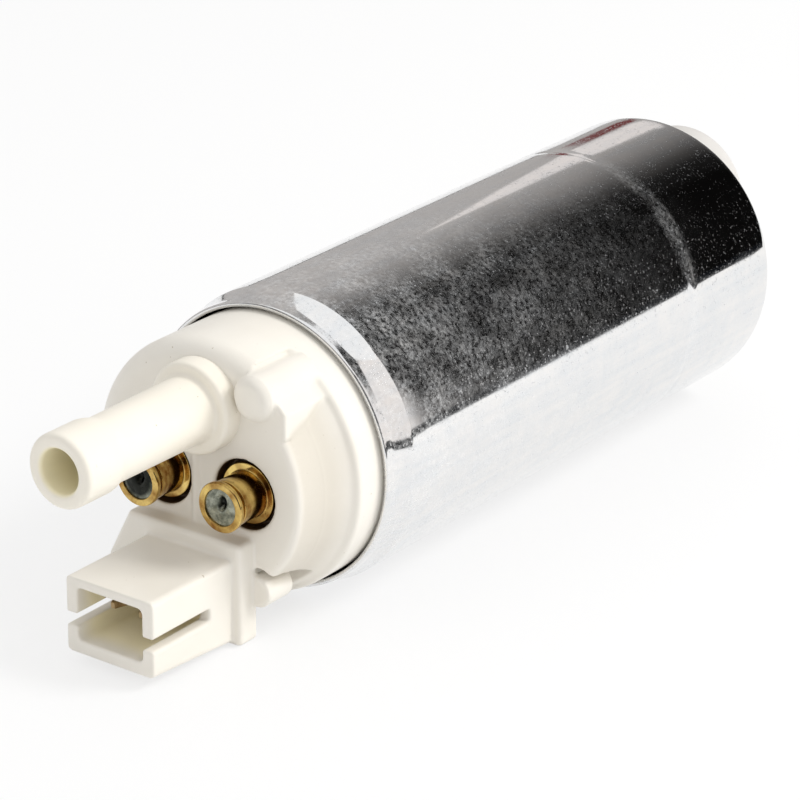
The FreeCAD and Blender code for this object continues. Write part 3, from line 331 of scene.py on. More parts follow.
# Moulded plastic: slow colour drift, sparse dark specks, a slightly uneven sheen and skin.
def moulding(v):
    colour = (0.8, 0.8, 0.8, 1)
    group, start, end = newGroup("moulding", [
        ("Vector", "NodeSocketVector", (0, 0, 0)),
        ("Colour", "NodeSocketColor", colour),
        ("Drift Colour", "NodeSocketColor", colour),
        ("Speck Colour", "NodeSocketColor", colour),
        ("Rough", "NodeSocketFloat", 0.4),
        ("Skin", "NodeSocketFloat", 0.1),
    ], [("Colour", "NodeSocketColor"), ("Rough", "NodeSocketFloat"),
        ("Normal", "NodeSocketVector")])
    vector = start.outputs["Vector"]
    drift = pattern(group, vector, *v["drift"])
    base = mixColour(group, drift, start.outputs["Colour"], start.outputs["Drift Colour"])
    speck = pattern(group, vector, *v["specks"])
    base = mixColour(group, speck, base, start.outputs["Speck Colour"])
    group.links.new(base, end.inputs["Colour"])
    spread = pattern(group, vector, *v["sheen"])
    total = addNode(group, "ShaderNodeMath", operation="ADD")
    group.links.new(start.outputs["Rough"], total.inputs[0])
    group.links.new(spread, total.inputs[1])
    group.links.new(total.outputs[0], end.inputs["Rough"])
    bump = addNode(group, "ShaderNodeBump", {"Distance": v["skinDepth"]})
    group.links.new(start.outputs["Skin"], bump.inputs["Strength"])
    group.links.new(noise(group, vector, *v["skin"]), bump.inputs["Height"])
    group.links.new(bump.outputs["Normal"], end.inputs["Normal"])
    return group


# As above, but patches and fine grain take their scale from the finish, and wear and specks are
# bands of what the noises add up to.
metalSkinValues = {
    "patches": (5.0, 0.65), "streaks": (1.0, 3.0, 0.6), "wear": (0.78, 1.24),
    "fine": (2.0, 0.7), "hazeSpecks": 0.16, "wearSpecks": 0.07, "specks": (0.68, 0.80),
    "grains": (1500.0, 3.0, 0.75, 0.38, 0.70, 0.1, 1.9),
    "smears": (210.0, 4.0, 0.6, 0.34, 0.66, 0.35, 1.6), "skinDepth": 0.00003,
}


# Worked metal: soft patches and fine streaks that change colour and sheen a little, and small
# dull specks that grow denser where Haze is high.
def metalSkin(v):
    colour = (0.6, 0.6, 0.6, 1)
    group, start, end = newGroup("metalSkin", [
        ("Vector", "NodeSocketVector", (0, 0, 0)),
        ("Streaks", "NodeSocketVector", (0, 0, 0)),
        ("Bright", "NodeSocketColor", colour),
        ("Dull", "NodeSocketColor", colour),
        ("Mottle Scale", "NodeSocketFloat", 300.0),
        ("Speck Scale", "NodeSocketFloat", 2000.0),
        ("Haze", "NodeSocketFloat", 0.3),
        ("Dust", "NodeSocketFloat", 0.0),
        ("Rough", "NodeSocketFloat", 0.2),
        ("Rough Spread", "NodeSocketFloat", 0.1),
        ("Speck Rough", "NodeSocketFloat", 0.3),
        ("Skin", "NodeSocketFloat", 0.1),
    ], [("Colour", "NodeSocketColor"), ("Rough", "NodeSocketFloat"), ("Metal", "NodeSocketFloat"),
        ("Normal", "NodeSocketVector")])

    def combine(operation, *values):
        node = addNode(group, "ShaderNodeMath", operation=operation)
        for socket, value in enumerate(values):
            if isinstance(value, float):
                node.inputs[socket].default_value = value
            else:
                group.links.new(value, node.inputs[socket])
        return node.outputs[0]

    vector = start.outputs["Vector"]
    patches = noise(group, vector, start.outputs["Mottle Scale"], *v["patches"])
    lines = noise(group, start.outputs["Streaks"], *v["streaks"])
    both = combine("ADD", patches, lines)
    wear = remap(group, both, *v["wear"])
    fine = noise(group, vector, start.outputs["Speck Scale"], *v["fine"])
    raised = combine("ADD", combine("MULTIPLY_ADD", start.outputs["Haze"], v["hazeSpecks"], fine),
                     combine("MULTIPLY", wear, v["wearSpecks"]))
    specks = remap(group, raised, *v["specks"])
    group.links.new(mixColour(group, combine("MAXIMUM", wear, specks), start.outputs["Bright"],
                              start.outputs["Dull"]), end.inputs["Colour"])
    spread = combine("MULTIPLY_ADD", wear, start.outputs["Rough Spread"], start.outputs["Rough"])
    group.links.new(combine("MULTIPLY_ADD", specks, start.outputs["Speck Rough"], spread),
                    end.inputs["Rough"])
    # dust lies in grains and smears, and takes away some of the metal's mirror
    grains = pattern(group, vector, *v["grains"])
    smears = pattern(group, vector, *v["smears"])
    dust = combine("MULTIPLY", combine("MULTIPLY", grains, smears), start.outputs["Dust"])
    group.links.new(combine("SUBTRACT", 1.0, dust), end.inputs["Metal"])
    bump = addNode(group, "ShaderNodeBump", {"Distance": v["skinDepth"]})
    group.links.new(start.outputs["Skin"], bump.inputs["Strength"])
    group.links.new(both, bump.inputs["Height"])
    group.links.new(bump.outputs["Normal"], end.inputs["Normal"])
    return group


mouldingGroup = moulding(mouldingValues)
metalGroup = metalSkin(metalSkinValues)


# The piece's own coordinates in metres, multiplied by scale.
def objectVector(tree, scale=(1, 1, 1)):
    where = tree.nodes.new("ShaderNodeTexCoord")
    mapping = addNode(tree, "ShaderNodeMapping", {"Scale": scale})
    tree.links.new(where.outputs["Object"], mapping.inputs["Vector"])
    return mapping.outputs["Vector"]


# Mixes a colour into the base colour where the mesh's own mask is high.
def stainAndPaintedLight(material, mask, colour):
    tree = material.node_tree
    shader = tree.nodes["Principled BSDF"]
    ownColour = shader.inputs["Base Color"].links[0].from_socket
    where = addNode(tree, "ShaderNodeAttribute", attribute_name=mask)
    tree.links.new(mixColour(tree, where.outputs["Fac"], ownColour, (*colour, 1)),
                   shader.inputs["Base Color"])


# Puts a group with its own values in front of the material's shader.
def useGroup(material, group, values, streaks=None):
    tree = material.node_tree
    shader = tree.nodes["Principled BSDF"]
    node = tree.nodes.new("ShaderNodeGroup")
    node.node_tree = group
    tree.links.new(objectVector(tree), node.inputs["Vector"])
    if streaks:
        tree.links.new(objectVector(tree, streaks), node.inputs["Streaks"])
    for name, value in values.items():
        node.inputs[name].default_value = value
    tree.links.new(node.outputs["Colour"], shader.inputs["Base Color"])
    tree.links.new(node.outputs["Rough"], shader.inputs["Roughness"])
    tree.links.new(node.outputs["Normal"], shader.inputs["Normal"])
    return shader


# colour, the colour it drifts to, colour of specks, sheen and skin
plasticValues = {
    "capPlastic": ((0.87, 0.835, 0.765), (0.84, 0.80, 0.725), (0.60, 0.54, 0.45), 0.36, 0.25),
    "tubePlastic": ((0.91, 0.865, 0.77), (0.89, 0.84, 0.735), (0.66, 0.60, 0.48), 0.34, 0.25),
    # painted shade: the cover is coloured darker than the cap for the shade on the pump's rear
    "coverPlastic": ((0.66, 0.64, 0.615), (0.63, 0.61, 0.58), (0.42, 0.39, 0.35), 0.40, 0.25),
    "valvePlastic": ((0.66, 0.63, 0.55), (0.62, 0.59, 0.51), (0.40, 0.37, 0.30), 0.42, 0.25),
    "darkMoulding": ((0.020, 0.018, 0.016), (0.030, 0.027, 0.024), (0.06, 0.055, 0.05), 0.50, 0.3),
    "phenolic": ((0.070, 0.038, 0.022), (0.095, 0.052, 0.030), (0.16, 0.10, 0.06), 0.50, 0.3),
    "carbonBlock": ((0.018, 0.018, 0.018), (0.028, 0.028, 0.028), (0.07, 0.07, 0.07), 0.62, 0.5),
    "ferrite": ((0.035, 0.036, 0.038), (0.050, 0.050, 0.052), (0.10, 0.10, 0.10), 0.55, 0.5),
    "sealRubber": ((0.015, 0.015, 0.015), (0.022, 0.022, 0.022), (0.05, 0.05, 0.05), 0.60, 0.4),
}
# Dust on the shell thins out from the front to the rear, in metres from the barrel's middle.
dustValues = {
    "front": -0.043, "rear": 0.039, "share": 0.17, "power": 1.8,
    "ringStretch": (0, 1600, 0), "ringBand": (1.0, 2.0, 0.6, 0.62, 0.74),
    "breaks": (160.0, 2.0, 0.5, 0.48, 0.62), "rings": 0.05,
    "groove": 0.0268, "grooveReach": 0.0021, "grooveCore": 0.0007, "grooveShare": 0.075,
}


# Share of dust by a power of the distance from the rear, plus broken rings where a noise of that
# distance alone is high, plus what has settled in the roll groove.
def addDust(material, v):
    tree = material.node_tree
    node = next(item for item in tree.nodes if item.bl_idname == "ShaderNodeGroup")
    tree.links.new(node.outputs["Metal"], tree.nodes["Principled BSDF"].inputs["Metallic"])
    where = tree.nodes.new("ShaderNodeSeparateXYZ")
    tree.links.new(objectVector(tree), where.inputs[0])
    slope = addNode(tree, "ShaderNodeMath", {1: v["power"]}, operation="POWER")
    tree.links.new(remap(tree, where.outputs["Y"], v["rear"], v["front"]), slope.inputs[0])
    share = addNode(tree, "ShaderNodeMath", {1: v["share"]}, operation="MULTIPLY")
    tree.links.new(slope.outputs[0], share.inputs[0])
    rings = pattern(tree, objectVector(tree, v["ringStretch"]), *v["ringBand"])
    broken = pattern(tree, objectVector(tree), *v["breaks"], 0.0, v["rings"])
    total = addNode(tree, "ShaderNodeMath", operation="MULTIPLY_ADD")
    tree.links.new(rings, total.inputs[0])
    tree.links.new(broken, total.inputs[1])
    tree.links.new(share.outputs[0], total.inputs[2])
    fromGroove = addNode(tree, "ShaderNodeMath", {1: v["groove"]}, operation="SUBTRACT")
    tree.links.new(where.outputs["Y"], fromGroove.inputs[0])
    distance = addNode(tree, "ShaderNodeMath", operation="ABSOLUTE")
    tree.links.new(fromGroove.outputs[0], distance.inputs[0])
    settled = addNode(tree, "ShaderNodeMath", operation="ADD")
    tree.links.new(total.outputs[0], settled.inputs[0])
    inGroove = remap(tree, distance.outputs[0], v["grooveReach"], v["grooveCore"], 0.0,
                     v["grooveShare"])
    tree.links.new(inGroove, settled.inputs[1])
    tree.links.new(settled.outputs[0], node.inputs["Dust"])


# bright and dull colour, size of patches and specks (per metre), haze, sheen (smooth part, its
# spread, specks), skin, and the streaks' scale along x, y and z
metalValues = {
    "shellSteel": ((0.845, 0.835, 0.825), (0.77, 0.785, 0.80), 300.0, 2300.0, 0.35,
                   0.055, 0.05, 0.30, 0.04, (700, 30, 700)),
    "springSteel": ((0.52, 0.52, 0.53), (0.34, 0.34, 0.34), 500.0, 2000.0, 0.3,
                    0.22, 0.15, 0.2, 0.2, (300, 300, 300)),
    "groundSteel": ((0.68, 0.68, 0.69), (0.55, 0.55, 0.55), 500.0, 2000.0, 0.2,
                    0.12, 0.08, 0.2, 0.1, (90, 900, 90)),
    "coreSteel": ((0.22, 0.22, 0.23), (0.12, 0.11, 0.11), 400.0, 2000.0, 0.5,
                  0.36, 0.15, 0.2, 0.3, (60, 1600, 60)),
    "cupBrass": ((0.76, 0.56, 0.19), (0.24, 0.10, 0.020), 430.0, 2600.0, 0.3,
                 0.07, 0.10, 0.2, 0.12, (160, 900, 160)),
    "bladeBrass": ((0.50, 0.37, 0.20), (0.27, 0.18, 0.09), 480.0, 2400.0, 0.5,
                   0.24, 0.2, 0.2, 0.2, (900, 90, 900)),
    "solderTin": ((0.37, 0.38, 0.31), (0.10, 0.11, 0.085), 1100.0, 3000.0, 0.5,
                  0.20, 0.2, 0.2, 0.5, (700, 700, 700)),
    "sinteredBronze": ((0.46, 0.29, 0.13), (0.30, 0.18, 0.08), 900.0, 3000.0, 0.7,
                       0.38, 0.15, 0.2, 0.4, (500, 500, 500)),
    "drawnCopper": ((0.72, 0.33, 0.17), (0.45, 0.18, 0.08), 500.0, 2400.0, 0.3,
                    0.26, 0.15, 0.2, 0.3, (700, 120, 700)),
    "castAluminium": ((0.58, 0.58, 0.59), (0.42, 0.42, 0.43), 600.0, 2600.0, 0.6,
                      0.38, 0.15, 0.2, 0.5, (500, 500, 500)),
}
# where a mesh carries a mask, the colour that it brings: burnt flux on the solder, painted shade
# on the cap's flare and moats, and painted bounce light inside the hood and the tube's bore
stainAndPaintedLightValues = [
    ("solderTin", "burnt", (0.012, 0.013, 0.012)), ("capPlastic", "flareShade", (0.66, 0.61, 0.52)),
    ("capPlastic", "hoodBounceLight", (0.97, 0.90, 0.66)), ("capPlastic", "moatShade", (0.07, 0.035, 0.012)),
    ("tubePlastic", "bore", (0.97, 0.90, 0.66)),
]
finishes = {}
for finishName, (colour, drift, speck, rough, skin) in plasticValues.items():
    material, _, shader = plainMaterial(finishName)
    useGroup(material, mouldingGroup, {
        "Colour": (*colour, 1), "Drift Colour": (*drift, 1), "Speck Colour": (*speck, 1),
        "Rough": rough, "Skin": skin})
    shader.inputs["IOR"].default_value = mouldingValues["ior"]
    finishes[finishName] = material
for finishName, values in metalValues.items():
    bright, dull, mottle, speck, haze, rough, spread, speckRough, skin, streaks = values
    material, _, shader = plainMaterial(finishName)
    useGroup(material, metalGroup, {
        "Bright": (*bright, 1), "Dull": (*dull, 1), "Mottle Scale": mottle, "Speck Scale": speck,
        "Haze": haze, "Rough": rough, "Rough Spread": spread, "Speck Rough": speckRough,
        "Skin": skin}, streaks)
    shader.inputs["Metallic"].default_value = 1.0
    if finishName == "shellSteel":
        addDust(material, dustValues)
    finishes[finishName] = material
for finishName, mask, colour in stainAndPaintedLightValues:
    stainAndPaintedLight(finishes[finishName], mask, colour)
print("stage: finishes")

weldValues = {"seam": 1e-7, "sliver": 1e-8, "solid": 1e-6}   # metres between joined points
cornerShare = 0.48   # the most of an edge that a rounded corner takes


# A mesh from an array of points and one of four-cornered faces, which are turned round if the
# volume that they enclose comes out negative.
def meshFromGrid(name, points, faces):
    points = np.asarray(points, float)
    faces = np.asarray(faces, int)
    a, b, c, d = (points[faces[:, k]] for k in range(4))
    volume = np.einsum("ij,ij->i", a, np.cross(b, c)).sum()
    volume += np.einsum("ij,ij->i", a, np.cross(c, d)).sum()
    if volume < 0:
        faces = faces[:, ::-1]
    mesh = bpy.data.meshes.new(name)
    mesh.vertices.add(len(points))
    mesh.vertices.foreach_set("co", points.ravel())
    mesh.loops.add(faces.size)
    mesh.loops.foreach_set("vertex_index", faces.ravel())
    mesh.polygons.add(len(faces))
    mesh.polygons.foreach_set("loop_start", np.arange(len(faces)) * 4)
    mesh.update(calc_edges=True)
    mesh.validate()
    mesh.polygons.foreach_set("use_smooth", np.ones(len(mesh.polygons), bool))
    return mesh


# A closed outline with each corner rounded: the corner point is replaced by a quadratic curve
# that starts and ends one radius away from it along both edges.
def softened(corners, radii, steps):
    corners = np.asarray(corners, float)
    radii = np.broadcast_to(np.asarray(radii, float), (len(corners),))
    before = np.roll(corners, 1, 0) - corners
    after = np.roll(corners, -1, 0) - corners
    lengthBefore = np.linalg.norm(before, axis=1)
    lengthAfter = np.linalg.norm(after, axis=1)
    reach = np.minimum(radii, cornerShare * np.minimum(lengthBefore, lengthAfter))[:, None]
    start = corners + before / lengthBefore[:, None] * reach
    end = corners + after / lengthAfter[:, None] * reach
    t = np.linspace(0, 1, steps)[None, :, None]
    curve = ((1 - t) ** 2 * start[:, None] + 2 * t * (1 - t) * corners[:, None]
             + t ** 2 * end[:, None])
    return curve.reshape(-1, 2)


# Adds points along an outline's long edges, so that no edge is longer than step: an edge is cut
# into equal shares, as many as its length holds steps, rounded up.
def spacedOut(outline, step):
    edge = np.roll(outline, -1, 0) - outline
    count = np.maximum(np.ceil(np.linalg.norm(edge, axis=1) / step), 1).astype(int)
    index = np.repeat(np.arange(len(outline)), count)
    number = np.arange(count.sum()) - (np.cumsum(count) - count)[index]
    share = number * (1 / count)[index]
    return outline[index] + edge[index] * share[:, None]


# A closed outline of (radius, distance along the axis), carried round the axis: a point is
# (radius cos a, distance, radius sin a), a being the turn.
def turnedPiece(name, outline, segments, centre=(0, 0)):
    turn, radius = np.meshgrid(np.linspace(0, 2 * math.pi, segments, endpoint=False),
                               outline[:, 0], indexing="ij")
    along = np.broadcast_to(outline[:, 1], radius.shape)
    points = np.stack([
        centre[0] + radius * np.cos(turn), along - halfLength, centre[1] + radius * np.sin(turn),
    ], -1).reshape(-1, 3) * mm
    return meshFromGrid(name, points, gridFaces(segments, len(outline), True, True))


# Rings of points joined one to the next. A ring drawn together in one point closes an end.
def tubeMesh(name, grid):
    mesh = meshFromGrid(name, grid.reshape(-1, 3), gridFaces(*grid.shape[:2], False, True))
    shape = bmesh.new()
    shape.from_mesh(mesh)
    bmesh.ops.remove_doubles(shape, verts=shape.verts, dist=weldValues["seam"])
    bmesh.ops.dissolve_degenerate(shape, edges=shape.edges, dist=weldValues["sliver"])
    shape.to_mesh(mesh)
    shape.free()
    return mesh


# 0 below low, 1 above high, and between them the share s as s squared times (3 - 2 s).
def smoothStep(value, low, high):
    share = np.clip((value - low) / (high - low), 0, 1)
    return share * share * (3 - 2 * share)


# A mesh's points in millimetres from the shell's front lip.
def coordinates(mesh):
    points = np.empty(len(mesh.vertices) * 3)
    mesh.vertices.foreach_get("co", points)
    return points.reshape(-1, 3) / mm + (0, halfLength, 0)


def storeMask(mesh, name, values):
    mask = mesh.attributes.new(name, "FLOAT", "POINT")
    mask.data.foreach_set("value", np.asarray(values, float))


def addPiece(name, mesh, finish, body, node):
    piece = bpy.data.objects.new(name, mesh)
    bpy.context.scene.collection.objects.link(piece)
    mesh.materials.append(finishes[finish])
    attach(piece, body)
    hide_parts(node)
    return piece


# Steel shell: swaged lip, roll groove over the pump section, rolled rear edge.
shellValues = {
    "radius": 21.5, "wall": 1.2, "length": 98.0, "lipRadius": 19.9, "lipWall": 0.9,
    "bandStart": 20.6, "bandSlope": 0.06, "bandEnd": 1.6, "riseSlope": 0.14, "riseEnd": 5.0,
    "shoulder": 0.07, "shoulderEnd": 9.0, "ledge": 4.4,
    "innerEdge": ((0.0, 0.25), (0.06, 0.04)),                  # from the lip's inside
    "outerEdge": ((-0.25, 0.0), (-0.07, 0.06), (0.0, 0.2)),    # from the band's start
    "bandFrom": 0.35, "bandMargin": 0.2, "bandRows": 5,
    "grooveMiddle": 75.8, "grooveWidth": 2.8, "grooveDepth": 0.06,
    "backFrom": 80.0, "rearRound": 3.0, "rearRoll": 17.6, "smallRound": 0.5, "ledgeRound": 0.4,
    "rows": 15, "cornerSteps": 10, "spacing": 3.0, "segments": 288,
}


def makeShell(v):
    outer, inner = v["radius"], v["radius"] - v["wall"]
    lip = v["lipRadius"]
    end, bend, wall = v["length"], v["rearRound"], v["wall"]
    share = np.linspace(0, 1, v["rows"])
    # the swaged lip is nearly a cylinder, then a parabola that grows steeper up to the shoulder
    first = v["bandStart"] + v["bandSlope"] * v["bandEnd"]
    run = v["riseEnd"] - v["bandEnd"]
    left = outer - v["shoulder"] - first - v["riseSlope"] * run
    rise = np.stack([first + v["riseSlope"] * run * share + left * share ** 2,
                     v["bandEnd"] + run * share], -1)
    height = np.linspace(v["bandFrom"], v["bandEnd"] - v["bandMargin"], v["bandRows"])
    band = np.stack([v["bandStart"] + v["bandSlope"] * height, height], -1)
    # the shoulder closes in on the barrel's radius as a parabola
    shoulder = np.stack([outer - v["shoulder"] * (1 - share) ** 2,
                         v["riseEnd"] + (v["shoulderEnd"] - v["riseEnd"]) * share], -1)
    # the groove is one cosine wave deep
    groove = np.stack([outer - v["grooveDepth"] * (1 - np.cos(2 * np.pi * share)) / 2,
                       v["grooveMiddle"] + v["grooveWidth"] * (share - 0.5)], -1)
    front = np.vstack([np.add(v["innerEdge"], (lip, 0)),
                       np.add(v["outerEdge"], (v["bandStart"], 0)), band, rise[:-1]])
    # the rear edge and the inside; the first corner only leads in, and its curve is left out
    small = v["smallRound"]
    back = softened([(outer, v["backFrom"]), (outer, end), (v["rearRoll"], end),
                     (v["rearRoll"], end - wall), (inner, end - wall),
                     (inner, v["ledge"] + v["lipWall"]), (lip, v["ledge"])],
                    [small, bend, small, small, bend - wall, small, v["ledgeRound"]],
                    v["cornerSteps"])[v["cornerSteps"]:]
    outline = spacedOut(np.vstack([front, shoulder, groove, back]), v["spacing"])
    mesh = turnedPiece("shellSkin", outline, v["segments"])
    addPiece("shellSkin", mesh, "shellSteel", "case", "shell")


# Outlet fitting: hose tube with a beaded end, a collar and a spigot.
tubeValues = {
    "height": 11.1, "radius": 4.75, "tipRadius": 4.65, "bore": 3.1, "tip": -42.7, "bead": 5.2,
    "beadEnd": -36.0, "beadSlope": 1.6, "face": -13.8, "collar": 6.55, "collarFront": -16.8,
    "spigot": 5.5, "spigotEnd": -6.3,
    "rounds": (0.1, 0.85, 1.1, 1.2, 1.6, 0.75, 1.5, 0.05, 0.05, 0.1),   # one for each corner
    "boreLightReach": (0.02, 0.5), "cornerSteps": 10, "spacing": 2.0, "segments": 160,
}


def makeTube(v):
    corners = [
        (v["bore"], v["spigotEnd"]), (v["bore"], v["tip"]), (v["bead"], v["tip"]),
        (v["bead"], v["beadEnd"]), (v["tipRadius"], v["beadEnd"] + v["beadSlope"]),
        (v["radius"], v["collarFront"]), (v["collar"], v["collarFront"]),
        (v["collar"], v["face"]), (v["spigot"], v["face"]), (v["spigot"], v["spigotEnd"]),
    ]
    outline = spacedOut(softened(corners, v["rounds"], v["cornerSteps"]), v["spacing"])
    mesh = turnedPiece("hoseTube", outline, v["segments"], (0, v["height"]))
    place = coordinates(mesh)
    fromAxis = np.hypot(place[:, 0], place[:, 2] - v["height"])
    # painted bounce light: a warm, bright tint on the inside of the bore
    maskFrom, maskTo = v["boreLightReach"]
    storeMask(mesh, "bore", 1 - smoothStep(fromAxis, v["bore"] + maskFrom, v["bore"] + maskTo))
    addPiece("hoseTube", mesh, "tubePlastic", "case", "outlet_fitting")


# Brass brush holders and the solder that closes their tips.
cupValues = {
    "side": 7.1, "height": -0.4, "tip": -19.1, "lip": 3.6, "lipLength": 0.8, "neck": 2.95,
    "neckLength": 0.6, "body": 3.3, "flange": 4.35, "flangeFront": -13.2, "flangeBack": -12.5,
    "end": 9.5, "bore": 2.6,
    "rounds": (0.12, 0.22, 0.18, 0.15, 0.15, 0.12, 0.25, 0.18, 0.18, 0.1, 0.1, 0.1),  # as above
    "cornerSteps": 5, "spacing": 1.6, "segments": 112,
}
solderValues = {
    "front": 0.22, "depth": 1.6, "dome": 0.18, "overlap": 0.02,
    "pitPlace": (0.35, 0.75), "pitWidth": (0.62, 0.85), "pitPower": 1.6, "pit": 0.85,
    "ripple": 0.05, "rippleTurns": (3.1, 2.7), "ripplePhase": 1.0,
    "rings": 40, "ringPower": 0.8, "segments": 96,
    "burnt": {1: 0.0, -1: 0.95}, "burntPower": 2,                        # right, left
    "rimFrom": 1.9, "rimWidth": 0.5, "rimBelow": 0.3, "rimShare": 0.7,   # the part left clean
}


def makeCups(v, s):
    lipEnd = v["tip"] + v["lipLength"]
    neckEnd = lipEnd + v["neckLength"]
    corners = [
        (v["bore"], v["tip"]), (v["lip"], v["tip"]), (v["lip"], lipEnd), (v["neck"], lipEnd),
        (v["neck"], neckEnd), (v["body"], neckEnd), (v["body"], v["flangeFront"]),
        (v["flange"], v["flangeFront"]), (v["flange"], v["flangeBack"]),
        (v["body"], v["flangeBack"]), (v["body"], v["end"]), (v["bore"], v["end"]),
    ]
    outline = spacedOut(softened(corners, v["rounds"], v["cornerSteps"]), v["spacing"])
    for side, sign in (("right", 1), ("left", -1)):
        mesh = turnedPiece("brushCup", outline, v["segments"], (sign * v["side"], v["height"]))
        addPiece(f"brushCup_{side}", mesh, "cupBrass", "case", f"brush_cup_{side}")
        mesh = solderMesh(v, s, sign)
        addPiece(f"solderPlug_{side}", mesh, "solderTin", "case", f"solder_{side}")


# Square of the distance from the middle of the solder's pit, in widths of the pit.
def fromPit(x, z, s):
    pitX = (x - s["pitPlace"][0]) / s["pitWidth"][0]
    pitZ = (z - s["pitPlace"][1]) / s["pitWidth"][1]
    return pitX ** 2 + pitZ ** 2


# A drop of solder: on a disc of rings and turns, the front is a shallow dome with ripples, less a
# pit of Gauss form off the middle. A wall and a flat back close it.
def solderMesh(v, s, sign):
    share = np.linspace(0, 1, s["rings"]) ** s["ringPower"]
    turn = np.linspace(0, 2 * math.pi, s["segments"], endpoint=False)
    radius, angle = np.meshgrid(share * (v["bore"] + s["overlap"]), turn, indexing="ij")
    x, z = radius * np.cos(angle), radius * np.sin(angle)
    pit = s["pit"] * np.exp(-fromPit(x, z, s) ** s["pitPower"])
    dome = s["dome"] * (1 - (radius / v["bore"]) ** 2)
    turnX, turnZ = s["rippleTurns"]
    ripple = s["ripple"] * np.sin(turnX * x + s["ripplePhase"]) * np.cos(turnZ * z - sign)
    y = v["tip"] + s["front"] - dome + pit + ripple * (1 - radius / v["bore"])
    front = np.stack([x + sign * v["side"], y - halfLength, z + v["height"]], -1)
    back = front[-1].copy()
    back[:, 1] = v["tip"] + s["depth"] - halfLength
    middle = np.array([[sign * v["side"], v["tip"] + s["depth"] - halfLength, v["height"]]])
    core = np.repeat(middle, s["segments"], 0)
    grid = np.concatenate([front, back[None], core[None]]) * mm
    mesh = tubeMesh("solderPlug", grid)
    # flux burnt on: all over the left one but its lower rim, and in the pit of the right one
    place = coordinates(mesh) - (sign * v["side"], 0, v["height"])
    inPit = np.exp(-fromPit(place[:, 0], place[:, 2], s) ** s["burntPower"])
    rim = np.clip((np.hypot(place[:, 0], place[:, 2]) - s["rimFrom"]) / s["rimWidth"], 0, 1)
    rim = rim * (place[:, 2] < s["rimBelow"])
    storeMask(mesh, "burnt", np.maximum(inPit, s["burnt"][sign] * (1 - s["rimShare"] * rim)))
    return mesh


# Moulded pieces: the solid's own form, cut off where the shell hides it, with the soft edges of
# a moulding. grain is the size of the cells that it is rebuilt from, and kept the share of the
# faces that stay.
mouldValues = {
    "outlet_cap": {"name": "capMoulding", "finish": "capPlastic", "slot": "cap_plastic",
                   "keepFrom": -200.0, "keepTo": 2.3, "grain": 0.22, "kept": 0.46},
    "inlet_cover": {"name": "coverMoulding", "finish": "coverPlastic", "slot": "cover_plastic",
                    "keepFrom": 94.0, "keepTo": 200.0, "grain": 0.26, "kept": 0.6},
}
smoothValues = {"factor": 0.5, "passes": 6}


# Forms of the cap that are finer than the solid's: the flare between crown and rim is hollow, and
# the relief valve's nose is rounded. Painted shade darkens the flare and the moats round the brush
# holders, and painted bounce light tints the inside of the hood warm.
capFormValues = {
    "side": ((-13.00, 16.30), (-9.00, 17.10), (-5.00, 18.70)), "bend": (-7.80, 16.75),
    "sideMargin": 0.6, "fullReach": 0.35, "reach": 1.1, "curvePoints": 60,
    "flareShadeShare": 0.7, "fadeIn": (-13.6, -12.4), "fadeOut": (-8.2, -4.6),
    "nose": (9.2, 14.2), "noseRadius": 3.2, "noseMargin": 0.3, "noseRound": 0.45,
    "noseFade": (14.0, 15.2),                        # ahead of the lip
    "moatRise": (4.1, 4.3), "moatFall": (5.1, 5.25), "moatFade": (-13.75, -13.35),
    "boreInner": 0.8, "boreRadius": 1.6, "boreEnds": (-12.6, -2.6),
    "hoodLow": (-5.8, -33.4, -18.2), "hoodHigh": (5.8, -18.7, -9.9), "hoodFade": 4.0,
}


